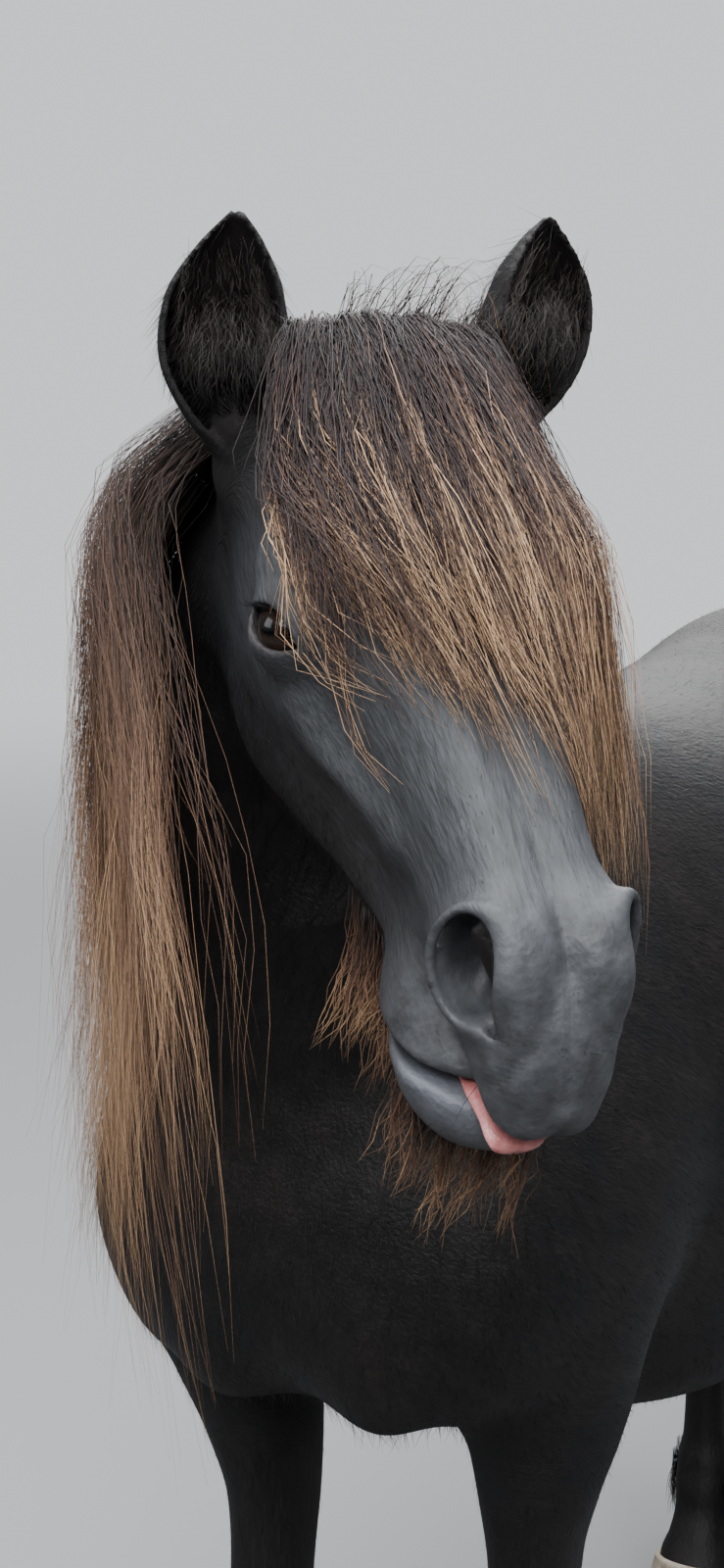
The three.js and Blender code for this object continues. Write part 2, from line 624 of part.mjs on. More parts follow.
// Evens out a fresh mesh: points slide towards their neighbours, then return to the surface.
const RELAX_PASSES = 3;
function relaxed(mesh, field, step) {
  const P = mesh.points;
  const F = mesh.faces;
  const sum = new Float64Array(P.length);
  const weight = new Float64Array(P.length / 3);
  const h = step * 0.2;
  for (let pass = 0; pass < RELAX_PASSES; pass++) {
    sum.fill(0);
    weight.fill(0);
    for (let f = 0; f < F.length; f++) {
      const v = F[f];
      const w = F[f % 3 === 2 ? f - 2 : f + 1];
      weight[v]++;
      weight[w]++;
      for (let i = 0; i < 3; i++) {
        sum[3 * v + i] += P[3 * w + i];
        sum[3 * w + i] += P[3 * v + i];
      }
    }
    for (let v = 0; v < weight.length; v++) {
      for (let i = 0; i < 3; i++) P[3 * v + i] = lerp(P[3 * v + i], sum[3 * v + i] / weight[v], 0.8);
      const x = P[3 * v];
      const y = P[3 * v + 1];
      const z = P[3 * v + 2];
      const f0 = field(x, y, z);
      if (Math.abs(f0) > step * 0.8) continue;
      const g = [field(x + h, y, z) - f0, field(x, y + h, z) - f0, field(x, y, z + h) - f0];
      const g2 = (g[0] * g[0] + g[1] * g[1] + g[2] * g[2]) / (h * h);
      const move = clamp(f0 / Math.max(g2, 0.25), -step / 2, step / 2);
      for (let i = 0; i < 3; i++) P[3 * v + i] -= (move * g[i]) / h;
    }
  }
  return mesh;
}

// Edge collapse by quadric error down to a wanted number of triangles.
function thinned(mesh, target, maxError) {
  const P = Float64Array.from(mesh.points);
  const nv = P.length / 3;
  const F = Uint32Array.from(mesh.faces);
  const nf = F.length / 3;
  const alive = new Uint8Array(nf).fill(1);
  const Q = new Float64Array(nv * 10);
  const around = Array.from({ length: nv }, () => []);
  const normalOf = (a, b, c, out) => {
    const ux = P[3 * b] - P[3 * a];
    const uy = P[3 * b + 1] - P[3 * a + 1];
    const uz = P[3 * b + 2] - P[3 * a + 2];
    const vx = P[3 * c] - P[3 * a];
    const vy = P[3 * c + 1] - P[3 * a + 1];
    const vz = P[3 * c + 2] - P[3 * a + 2];
    out[0] = uy * vz - uz * vy;
    out[1] = uz * vx - ux * vz;
    out[2] = ux * vy - uy * vx;
    return Math.hypot(out[0], out[1], out[2]);
  };
  const m = [0, 0, 0];
  for (let f = 0; f < nf; f++) {
    const a = F[3 * f];
    const b = F[3 * f + 1];
    const c = F[3 * f + 2];
    const len = normalOf(a, b, c, m) || 1e-12;
    const x = m[0] / len;
    const y = m[1] / len;
    const z = m[2] / len;
    const d = -(x * P[3 * a] + y * P[3 * a + 1] + z * P[3 * a + 2]);
    const w = len / 6;
    const q = [x * x, x * y, x * z, x * d, y * y, y * z, y * d, z * z, z * d, d * d];
    for (const v of [a, b, c]) {
      around[v].push(f);
      for (let i = 0; i < 10; i++) Q[10 * v + i] += q[i] * w;
    }
  }
  const version = new Uint32Array(nv);
  const gone = new Uint8Array(nv);
  const heap = [];
  const less = (a, b) => a[0] < b[0];
  const push = (item) => {
    let i = heap.length;
    heap.push(item);
    while (i > 0) {
      const p = (i - 1) >> 1;
      if (!less(heap[i], heap[p])) break;
      [heap[i], heap[p]] = [heap[p], heap[i]];
      i = p;
    }
  };
  const pop = () => {
    const top = heap[0];
    const last = heap.pop();
    if (heap.length) {
      heap[0] = last;
      let i = 0;
      for (;;) {
        let s = i;
        const l = 2 * i + 1;
        if (l < heap.length && less(heap[l], heap[s])) s = l;
        if (l + 1 < heap.length && less(heap[l + 1], heap[s])) s = l + 1;
        if (s === i) break;
        [heap[i], heap[s]] = [heap[s], heap[i]];
        i = s;
      }
    }
    return top;
  };
  const q = new Float64Array(10);
  const errorAt = (x, y, z) => q[0] * x * x + 2 * q[1] * x * y + 2 * q[2] * x * z + 2 * q[3] * x
    + q[4] * y * y + 2 * q[5] * y * z + 2 * q[6] * y + q[7] * z * z + 2 * q[8] * z + q[9];
  const best = (a, b) => {
    for (let i = 0; i < 10; i++) q[i] = Q[10 * a + i] + Q[10 * b + i];
    const mx = (P[3 * a] + P[3 * b]) / 2;
    const my = (P[3 * a + 1] + P[3 * b + 1]) / 2;
    const mz = (P[3 * a + 2] + P[3 * b + 2]) / 2;
    const len2 = (P[3 * a] - P[3 * b]) ** 2 + (P[3 * a + 1] - P[3 * b + 1]) ** 2
      + (P[3 * a + 2] - P[3 * b + 2]) ** 2;
    // A weak pull to the middle of the edge keeps flat regions well shaped.
    const soft = 1e-3 * (q[0] + q[4] + q[7]);
    const A = [q[0] + soft, q[1], q[2], q[4] + soft, q[5], q[7] + soft];
    const r = [-q[3] + soft * mx, -q[6] + soft * my, -q[8] + soft * mz];
    const det = A[0] * (A[3] * A[5] - A[4] * A[4]) - A[1] * (A[1] * A[5] - A[4] * A[2])
      + A[2] * (A[1] * A[4] - A[3] * A[2]);
    let x = mx;
    let y = my;
    let z = mz;
    if (Math.abs(det) > 1e-12) {
      x = (r[0] * (A[3] * A[5] - A[4] * A[4]) - A[1] * (r[1] * A[5] - A[4] * r[2])
        + A[2] * (r[1] * A[4] - A[3] * r[2])) / det;
      y = (A[0] * (r[1] * A[5] - A[4] * r[2]) - r[0] * (A[1] * A[5] - A[4] * A[2])
        + A[2] * (A[1] * r[2] - r[1] * A[2])) / det;
      z = (A[0] * (A[3] * r[2] - r[1] * A[4]) - A[1] * (A[1] * r[2] - r[1] * A[2])
        + r[0] * (A[1] * A[4] - A[3] * A[2])) / det;
      if ((x - mx) ** 2 + (y - my) ** 2 + (z - mz) ** 2 > len2 * 1.5) {
        x = mx;
        y = my;
        z = mz;
      }
    }
    return [Math.max(errorAt(x, y, z), 0) + 2e-4 * len2, x, y, z];
  };
  const pushEdge = (a, b) => {
    const [cost, x, y, z] = best(a, b);
    push([cost, a, b, version[a], version[b], x, y, z]);
  };
  for (let f = 0; f < nf; f++) {
    for (let e = 0; e < 3; e++) {
      const a = F[3 * f + e];
      const b = F[3 * f + ((e + 1) % 3)];
      if (a < b) pushEdge(a, b);
    }
  }
  const ring = (v) => {
    const s = new Set();
    for (const f of around[v]) {
      for (let e = 0; e < 3; e++) if (F[3 * f + e] !== v) s.add(F[3 * f + e]);
    }
    return s;
  };
  const before = [0, 0, 0];
  const after = [0, 0, 0];
  const flips = (v, other, x, y, z) => {
    const keep = [P[3 * v], P[3 * v + 1], P[3 * v + 2]];
    for (const f of around[v]) {
      const ids = [F[3 * f], F[3 * f + 1], F[3 * f + 2]];
      if (ids.includes(other)) continue;
      const l0 = normalOf(ids[0], ids[1], ids[2], before);
      P[3 * v] = x;
      P[3 * v + 1] = y;
      P[3 * v + 2] = z;
      const l1 = normalOf(ids[0], ids[1], ids[2], after);
      let longest = 0;
      for (let e = 0; e < 3; e++) {
        const i = ids[e];
        const j = ids[(e + 1) % 3];
        longest = Math.max(longest, (P[3 * i] - P[3 * j]) ** 2 + (P[3 * i + 1] - P[3 * j + 1]) ** 2
          + (P[3 * i + 2] - P[3 * j + 2]) ** 2);
      }
      [P[3 * v], P[3 * v + 1], P[3 * v + 2]] = keep;
      const dot = before[0] * after[0] + before[1] * after[1] + before[2] * after[2];
      if (dot < 0.2 * l0 * l1 || l1 < 0.06 * longest) return true;
    }
    return false;
  };
  let count = nf;
  while (count > target && heap.length) {
    const [cost, a, b, va, vb, x, y, z] = pop();
    if (cost > maxError) break;
    if (gone[a] || gone[b] || version[a] !== va || version[b] !== vb) continue;
    const ra = ring(a);
    const rb = ring(b);
    let shared = 0;
    for (const v of ra) if (rb.has(v)) shared++;
    if (shared !== 2) continue;
    if (flips(a, b, x, y, z) || flips(b, a, x, y, z)) continue;
    P[3 * a] = x;
    P[3 * a + 1] = y;
    P[3 * a + 2] = z;
    for (let i = 0; i < 10; i++) Q[10 * a + i] += Q[10 * b + i];
    for (const f of around[b]) {
      const ids = [F[3 * f], F[3 * f + 1], F[3 * f + 2]];
      if (ids.includes(a)) {
        alive[f] = 0;
        count--;
        for (const v of ids) if (v !== b) around[v] = around[v].filter((g) => g !== f);
      } else {
        for (let e = 0; e < 3; e++) if (F[3 * f + e] === b) F[3 * f + e] = a;
        around[a].push(f);
      }
    }
    around[b] = [];
    gone[b] = 1;
    version[a]++;
    for (const v of ring(a)) {
      if (a < v) pushEdge(a, v);
      else pushEdge(v, a);
    }
  }
  const map = new Int32Array(nv).fill(-1);
  const points = [];
  const faces = [];
  for (let f = 0; f < nf; f++) {
    if (!alive[f]) continue;
    for (let e = 0; e < 3; e++) {
      const v = F[3 * f + e];
      if (map[v] < 0) {
        map[v] = points.length / 3;
        points.push(P[3 * v], P[3 * v + 1], P[3 * v + 2]);
      }
      faces.push(map[v]);
    }
  }
  return { points: Float64Array.from(points), faces: Uint32Array.from(faces) };
}

// Solids
function solidOf(mesh) {
  return new Manifold(new Mesh({
    numProp: 3,
    vertProperties: Float32Array.from(mesh.points),
    triVerts: Uint32Array.from(mesh.faces),
  }));
}
function placed(mesh, matrix) {
  const v = new THREE.Vector3();
  const points = Float64Array.from(mesh.points);
  for (let i = 0; i < points.length; i += 3) {
    v.set(points[i], points[i + 1], points[i + 2]).applyMatrix4(matrix);
    points[i] = v.x;
    points[i + 1] = v.y;
    points[i + 2] = v.z;
  }
  return { points, faces: matrix.determinant() < 0 ? mesh.faces.slice().reverse() : mesh.faces };
}
function largest(solid) {
  const bodies = solid.decompose();
  return bodies.reduce((a, b) => (b.volume() > a.volume() ? b : a));
}
function boxSolid(min, max, matrix) {
  const points = [];
  for (const z of [min[2], max[2]]) {
    for (const y of [min[1], max[1]]) for (const x of [min[0], max[0]]) points.push(x, y, z);
  }
  const faces = [0, 2, 1, 1, 2, 3, 4, 5, 6, 5, 7, 6, 0, 1, 4, 1, 5, 4,
    2, 6, 3, 3, 6, 7, 0, 4, 2, 2, 4, 6, 1, 3, 5, 3, 7, 5];
  const mesh = { points: Float64Array.from(points), faces: Uint32Array.from(faces) };
  return solidOf(matrix ? placed(mesh, matrix) : mesh);
}
// Rings of equal count, closed at both ends by a fan about a middle point, or, without such
// points, by a strip between the two halves of a ring that bends back on itself.
function loft(rings, startPoint, endPoint) {
  const m = rings[0].length;
  const points = [];
  const faces = [];
  for (const ring of rings) for (const p of ring) points.push(p.x, p.y, p.z);
  for (let r = 0; r < rings.length - 1; r++) {
    for (let i = 0; i < m; i++) {
      const j = (i + 1) % m;
      const a = r * m + i;
      const b = r * m + j;
      faces.push(a, b, a + m, b, b + m, a + m);
    }
  }
  const lastRing = (rings.length - 1) * m;
  if (startPoint) {
    const first = points.length / 3;
    points.push(startPoint.x, startPoint.y, startPoint.z, endPoint.x, endPoint.y, endPoint.z);
    for (let i = 0; i < m; i++) {
      const j = (i + 1) % m;
      faces.push(first, j, i, first + 1, lastRing + i, lastRing + j);
    }
  } else {
    for (let i = 0; i < m / 2 - 1; i++) {
      const [a, b, c, d] = [i, i + 1, m - 2 - i, m - 1 - i];
      faces.push(b, a, d, b, d, c);
      faces.push(lastRing + a, lastRing + b, lastRing + d, lastRing + b, lastRing + c, lastRing + d);
    }
  }
  const mesh = { points: Float64Array.from(points), faces: Uint32Array.from(faces) };
  let volume = 0;
  const P = mesh.points;
  for (let f = 0; f < faces.length; f += 3) {
    const [a, b, c] = [3 * faces[f], 3 * faces[f + 1], 3 * faces[f + 2]];
    volume += P[a] * (P[b + 1] * P[c + 2] - P[b + 2] * P[c + 1])
      - P[a + 1] * (P[b] * P[c + 2] - P[b + 2] * P[c])
      + P[a + 2] * (P[b] * P[c + 1] - P[b + 1] * P[c]);
  }
  if (volume < 0) {
    for (let f = 0; f < mesh.faces.length; f += 3) {
      const keep = mesh.faces[f + 1];
      mesh.faces[f + 1] = mesh.faces[f + 2];
      mesh.faces[f + 2] = keep;
    }
  }
  return mesh;
}
const middle = (ring) => ring.reduce((s, p) => s.add(p), new THREE.Vector3())
  .multiplyScalar(1 / ring.length);
function sphereMesh(centre, radius, axis, rows, columns) {
  const pole = axis.clone().normalize();
  const side = new THREE.Vector3(0.3, 0.2, 1).cross(pole).normalize();
  const other = new THREE.Vector3().crossVectors(pole, side);
  const rings = [];
  for (let r = 1; r < rows; r++) {
    const t = (r / rows) * Math.PI;
    const ring = [];
    for (let i = 0; i < columns; i++) {
      const a = (i / columns) * 2 * Math.PI;
      ring.push(centre.clone().addScaledVector(pole, radius * Math.cos(t))
        .addScaledVector(side, radius * Math.sin(t) * Math.cos(a))
        .addScaledVector(other, radius * Math.sin(t) * Math.sin(a)));
    }
    rings.push(ring);
  }
  return loft(rings, centre.clone().addScaledVector(pole, radius),
    centre.clone().addScaledVector(pole, -radius));
}

const EAR_CLEAR = 0.8;               // room cut for the ear in the head and neck
// Ear: a cupped leaf. Built for the left side in the head frame, mirrored for the right.
const EAR = {
  base: [68, 10, -29], baseToLeft: [8, -3, 6],
  tip: [84, -46, 66], tipToLeft: [10, 0, 0],
  bow: -10, stations: 11, columns: 9,
  radius: [[0, 22], [0.15, 29], [0.4, 34], [0.65, 30], [0.86, 17], [1, 3]],
  opening: [[0, 0.5], [0.15, 0.95], [0.4, 1.25], [0.7, 1.35], [1, 1.4]],
  wall: [[0, 7], [0.3, 5], [0.8, 3.6], [1, 2.4]],
};
const earRadius = profile(EAR.radius);
const earOpening = profile(EAR.opening);
const earWall = profile(EAR.wall);
function earRings(hand, grow) {
  const base = new THREE.Vector3(...EAR.base.map((v, i) => v + hand * EAR.baseToLeft[i]));
  const tip = new THREE.Vector3(...EAR.tip.map((v, i) => v + hand * EAR.tipToLeft[i]));
  const axis = tip.clone().sub(base).normalize();
  const open = new THREE.Vector3(0.30, 0.66, 0.69);
  open.addScaledVector(axis, -open.dot(axis)).normalize();
  const side = new THREE.Vector3().crossVectors(axis, open);
  const rings = [];
  for (let k = 0; k < EAR.stations; k++) {
    const s = k / (EAR.stations - 1);
    const r = earRadius.at(s, 0);
    const half = earOpening.at(s, 0) - grow / r;
    const t = earWall.at(s, 0);
    const centre = base.clone().lerp(tip, s)
      .addScaledVector(side, EAR.bow * Math.sin(s * Math.PI));
    const outer = [];
    const inner = [];
    for (let i = 0; i < EAR.columns; i++) {
      const a = lerp(half, 2 * Math.PI - half, i / (EAR.columns - 1));
      const thin = t * lerp(0.45, 1, Math.sin((i / (EAR.columns - 1)) * Math.PI));
      const direction = open.clone().multiplyScalar(Math.cos(a) * 0.82)
        .addScaledVector(side, Math.sin(a));
      outer.push(centre.clone().addScaledVector(direction, r + grow));
      inner.unshift(centre.clone().addScaledVector(direction, Math.max(r - thin, 1) - grow));
    }
    rings.push([...outer, ...inner]);
  }
  // A grown ear also reaches further at both ends, in line with its walls.
  const beyond = -grow * (EAR.stations - 1) / tip.distanceTo(base);
  const end = rings.length - 1;
  rings[0] = rings[0].map((p, i) => p.lerp(rings[1][i], beyond));
  rings[end] = rings[end].map((p, i) => p.lerp(rings[end - 1][i], beyond));
  return rings;
}
function earMesh(side, grow) {
  const rings = earRings(side, grow);
  const matrix = headMatrix.clone();
  if (side < 0) matrix.multiply(new THREE.Matrix4().makeScale(-1, 1, 1));
  return loft(rings.map((ring) => ring.map((p) => p.clone().applyMatrix4(matrix))));
}

// Hair: a flat lock swept along a path, lens-shaped and pointed at its end.
function lockSolid(path, across, width, thickness) {
  const n = path.length;
  const rings = [];
  for (let k = 0; k < n - 1; k++) {
    const s = k / (n - 1);
    const along = path[Math.min(k + 1, n - 1)].clone().sub(path[Math.max(k - 1, 0)]).normalize();
    const side = across[k].clone().addScaledVector(along, -across[k].dot(along)).normalize();
    const up = new THREE.Vector3().crossVectors(side, along);
    const w = width * (0.55 + 0.45 * Math.sin(Math.min(1, s * 1.6) * Math.PI * 0.5))
      * (1 - 0.72 * s * s);
    const t = Math.max(thickness * (1 - 0.7 * s), 1.2);
    rings.push([
      path[k].clone().addScaledVector(side, w / 2),
      path[k].clone().addScaledVector(up, t / 2),
      path[k].clone().addScaledVector(side, -w / 2),
      path[k].clone().addScaledVector(up, -t / 2),
    ]);
  }
  return solidOf(loft(rings, middle(rings[0]), path[n - 1]));
}

// Cutting planes and boxes
const BIG = 3000;
function halfSpace(origin, normal, offset) {
  const z = normal.clone().normalize();
  const x = Math.abs(z.x) < 0.9 ? new THREE.Vector3(1, 0, 0) : new THREE.Vector3(0, 1, 0);
  x.addScaledVector(z, -x.dot(z)).normalize();
  const y = new THREE.Vector3().crossVectors(z, x);
  const at = origin.clone().addScaledVector(z, offset);
  const matrix = new THREE.Matrix4().makeBasis(x, y, z).setPosition(at);
  return boxSolid([-BIG, -BIG, 0], [BIG, BIG, BIG], matrix);
}
const HALF_GAP = GAP / 2;
const NECK_CUT = {
  origin: new THREE.Vector3(0, -262, 985),
  normal: new THREE.Vector3(0, -0.734, 0.679),
};
const neckSide = (y, z) => (y - NECK_CUT.origin.y) * NECK_CUT.normal.y
  + (z - NECK_CUT.origin.z) * NECK_CUT.normal.z;
const HEAD_BOX = { min: [-190, -38, -196], max: [190, 460, 90] };
const SPARE = 12;                    // extra length meshed beyond a cut, then cut away

// Torso
const FORE_BOX = { min: [18, -440, -10], max: [235, -251, FORE_LEG_TOP] };
const HIND_BOX = { min: [2, 284, -10], max: [235, 540, HIND_LEG_TOP] };
function legBox(box, side, grow) {
  const xs = side > 0 ? [box.min[0], box.max[0]] : [-box.max[0], -box.min[0]];
  return boxSolid([xs[0] - grow, box.min[1] - grow, box.min[2] - grow],
    [xs[1] + grow, box.max[1] + grow, box.max[2] + grow]);
}
const DOCK_PLANE = {
  origin: new THREE.Vector3(0, 572, 853),
  normal: new THREE.Vector3(0, 0.93, -0.37),
};
const DOCK_BOX = 40;
function dockBox(offset) {
  const z = DOCK_PLANE.normal.clone().normalize();
  const x = new THREE.Vector3(1, 0, 0);
  const y = new THREE.Vector3().crossVectors(z, x);
  const matrix = new THREE.Matrix4().makeBasis(x, y, z).setPosition(DOCK_PLANE.origin);
  return boxSolid([-DOCK_BOX, -DOCK_BOX, offset], [DOCK_BOX, DOCK_BOX, 90], matrix);
}
const STEP = { torso: 10, neck: 7, head: 3.2, leg: 6 };
const TARGET = { torso: 1500, neck: 850, head: 3400, leg: 330 };
const COUNT = { forelock: 15, mane: 20, tail: 13, beard: 6, feather: 3 };

function torsoSolid() {
  const field = (x, y, z) => {
    let f = Math.max(bodyField(x, y, z), neckSide(y, z) - SPARE);
    const ax = Math.abs(x);
    if (ax > FORE_BOX.min[0] && y < FORE_BOX.max[1]) f = Math.max(f, FORE_LEG_TOP - SPARE - z);
    if (ax > HIND_BOX.min[0] && y > HIND_BOX.min[1]) f = Math.max(f, HIND_LEG_TOP - SPARE - z);
    return f;
  };
  const box = [[-232, -560, 400], [232, 640, 1010]];
  let solid = solidOf(thinned(surfaceOf(field, box, STEP.torso), TARGET.torso, Infinity));
  solid = solid.subtract(halfSpace(NECK_CUT.origin, NECK_CUT.normal, -HALF_GAP));
  for (const side of [-1, 1]) {
    solid = solid.subtract(legBox(FORE_BOX, side, HALF_GAP));
    solid = solid.subtract(legBox(HIND_BOX, side, HALF_GAP));
  }
  return largest(solid.subtract(dockBox(-HALF_GAP)));
}

// Hooves: ground oval, wall, coronet ring in a sloping plane.
const HOOF = {
  fore: { y: -362, slope: 0.26, height: 54, depth: 47, width: 43, toe: -13 },
  hind: { y: 370, slope: 0.26, height: 53, depth: 46, width: 41, toe: -12 },
  ringDepth: 39.5, ringWidth: 38, columns: 22, rows: 4,
};
// Middle of a leg at a height: x, and how far it stands back.
function standing(kind, side, z) {
  if (kind === 'fore') return [side * pick(FORE_STANCE, side), pick(FORE_SHIFT, side) * faded(z)];
  const out = pick(HIND_STANCE, side) - pick(HIND_INWARD, side) * faded(z);
  return [side * out, pick(HIND_SHIFT, side) * faded(z)];
}
function hoofMesh(kind, side) {
  const h = HOOF[kind];
  const [middleX, shift] = standing(kind, side, h.height);
  const rings = [];
  for (let r = 0; r < HOOF.rows; r++) {
    const t = r / (HOOF.rows - 1);
    const ring = [];
    for (let i = 0; i < HOOF.columns; i++) {
      const a = (i / HOOF.columns) * 2 * Math.PI;
      const c = Math.cos(a);
      const s = Math.sin(a);
      const heel = s > 0 ? 1 - 0.14 * s * s : 1;
      const hw = lerp(h.width, HOOF.ringWidth, t) * (1 + 0.02 * Math.sin(t * Math.PI));
      const hd = lerp(h.depth, HOOF.ringDepth, t);
      const x = middleX + hw * Math.sign(c) * Math.pow(Math.abs(c), 0.92);
      const yy = h.y + lerp(h.toe, 4, t) + hd * Math.sign(s) * Math.pow(Math.abs(s), 0.92) * heel;
      const top = h.height - HALF_GAP - (yy - h.y) * h.slope;
      ring.push(new THREE.Vector3(x, yy + shift, t * top));
    }
    rings.push(ring);
  }
  return loft(rings, middle(rings[0]), middle(rings[HOOF.rows - 1]));
}
function legSolid(kind, side) {
  const fore = kind === 'fore';
  const box = fore ? FORE_BOX : HIND_BOX;
  const top = fore ? FORE_LEG_TOP : HIND_LEG_TOP;
  const x = side > 0 ? [-4, 190] : [-190, 4];
  const grid = fore ? [[x[0], -440, 26], [x[1], -248, top + SPARE]]
    : [[x[0], 286, 26], [x[1], 540, top + SPARE]];
  const field = (px, py, pz) => Math.max(bodyField(px, py, pz), pz - top - SPARE * 0.7);
  let solid = solidOf(thinned(surfaceOf(field, grid, STEP.leg), TARGET.leg, Infinity));
  solid = solid.intersect(legBox(box, side, -HALF_GAP));
  const h = HOOF[kind];
  const [middleX, shift] = standing(kind, side, h.height);
  const origin = new THREE.Vector3(middleX, h.y + shift, h.height + HALF_GAP);
  solid = solid.subtract(halfSpace(origin, new THREE.Vector3(0, -h.slope, -1), 0));
  return largest(solid);
}

// Neck and head
function neckSolid() {
  const field = (x, y, z) => {
    const p = localPoint(x, y, z);
    const clear = Math.min(p[1] - HEAD_BOX.min[1], p[2] - HEAD_BOX.min[2]) - SPARE;
    return Math.max(wholeField(x, y, z), -neckSide(y, z) - SPARE, clear);
  };
  const box = [[-150, -700, 700], [260, -230, 1215]];
  let solid = solidOf(thinned(surfaceOf(field, box, STEP.neck), TARGET.neck, Infinity));
  solid = solid.intersect(halfSpace(NECK_CUT.origin, NECK_CUT.normal, HALF_GAP));
  const cut = boxSolid(HEAD_BOX.min.map((v) => v - HALF_GAP), HEAD_BOX.max.map((v) => v + HALF_GAP),
    headMatrix);
  return largest(solid.subtract(cut));
}
function headSolid() {
  const field = (x, u, w) => {
    const p = fromHead(x, u, w);
    const f = smoothMin(headField(x, u, w), bodyField(p.x, p.y, p.z), 22);
    return Math.max(f, HEAD_BOX.min[1] - SPARE * 0.5 - u, HEAD_BOX.min[2] - SPARE * 0.5 - w);
  };
  const box = [[-112, -48, -206], [112, 414, 40]];
  const mesh = thinned(surfaceOf(field, box, STEP.head), TARGET.head, Infinity);
  const solid = solidOf(placed(mesh, headMatrix));
  const keep = boxSolid(HEAD_BOX.min.map((v) => v + HALF_GAP), HEAD_BOX.max.map((v) => v - HALF_GAP),
    headMatrix);
  return largest(solid.intersect(keep));
}

// The head a little enlarged, to cut the mane clear of it.
const HEAD_CLEAR = { step: 7, grow: 3, triangles: 600 };
function headClear() {
  const field = (x, u, w) => {
    const p = fromHead(x, u, w);
    return smoothMin(headField(x, u, w), bodyField(p.x, p.y, p.z), 22) - HEAD_CLEAR.grow;
  };
  const box = [[-120, -60, -210], [120, 420, 60]];
  const mesh = thinned(surfaceOf(field, box, HEAD_CLEAR.step), HEAD_CLEAR.triangles, Infinity);
  const keep = boxSolid(HEAD_BOX.min.map((v) => v - HALF_GAP), HEAD_BOX.max.map((v) => v + HALF_GAP),
    headMatrix);
  return solidOf(placed(mesh, headMatrix)).intersect(keep);
}

// The right shoulder a little enlarged, to cut the hanging mane clear of the torso.
const SHOULDER_CLEAR = { step: 12, grow: 2.5, triangles: 360 };
function shoulderClear() {
  const field = (x, y, z) => bodyField(x, y, z) - SHOULDER_CLEAR.grow;
  const box = [[-236, -560, 560], [20, -150, 1010]];
  const mesh = thinned(surfaceOf(field, box, SHOULDER_CLEAR.step), SHOULDER_CLEAR.triangles, Infinity);
  return solidOf(mesh).subtract(halfSpace(NECK_CUT.origin, NECK_CUT.normal, HALF_GAP));
}

// Tongue: lies in the mouth and shows over the lower lip, to the right of the middle.
// Rows: x, u, w, half width, half thickness.
const TONGUE = [
  [-8, 318, -119, 12, 3.4], [-9, 342, -109.5, 14, 3.6], [-9, 364, -99.5, 17, 3.8],
  [-9, 379, -95, 17, 3.4], [-10, 387, -96.5, 15, 3.0], [-10, 390, -101, 11, 2.4],
];
const TONGUE_COLUMNS = 10;
function tongueMesh(grow) {
  const rings = TONGUE.map((row, k) => {
    const a = TONGUE[Math.max(k - 1, 0)];
    const b = TONGUE[Math.min(k + 1, TONGUE.length - 1)];
    const along = new THREE.Vector3(b[0] - a[0], b[1] - a[1], b[2] - a[2]).normalize();
    const up = new THREE.Vector3().crossVectors(new THREE.Vector3(1, 0, 0), along).normalize();
    const shift = k === 0 ? -grow : 0;
    const ring = [];
    for (let i = 0; i < TONGUE_COLUMNS; i++) {
      const t = (i / TONGUE_COLUMNS) * 2 * Math.PI;
      const p = new THREE.Vector3(row[0], row[1] + shift, row[2]);
      p.x += Math.cos(t) * (row[3] + grow);
      p.addScaledVector(up, Math.sin(t) * (row[4] + grow));
      ring.push(p.applyMatrix4(headMatrix));
    }
    return ring;
  });
  const last = TONGUE[TONGUE.length - 1];
  const tip = fromHead(last[0], last[1] + grow, last[2] - 4 - grow);
  return loft(rings, middle(rings[0]), tip);
}

// Hair paths
const STATIONS = [0, 0.07, 0.2, 0.42, 0.7, 1];
function pushedOut(p, direction, margin, field) {
  let lo = 0;
  if (field(p.x, p.y, p.z) >= margin) return p;
  let step = 4;
  let reach = 0;
  while (reach < 260) {
    reach += step;
    const q = p.clone().addScaledVector(direction, reach);
    if (field(q.x, q.y, q.z) >= margin) break;
    lo = reach;
    step = Math.min(step * 1.3, 14);
  }
  return p.clone().addScaledVector(direction, (lo + reach) / 2);
}
const down = new THREE.Vector3(0, 0, -1);
const wavy = (random, size) => (random() - 0.5) * 2 * size;

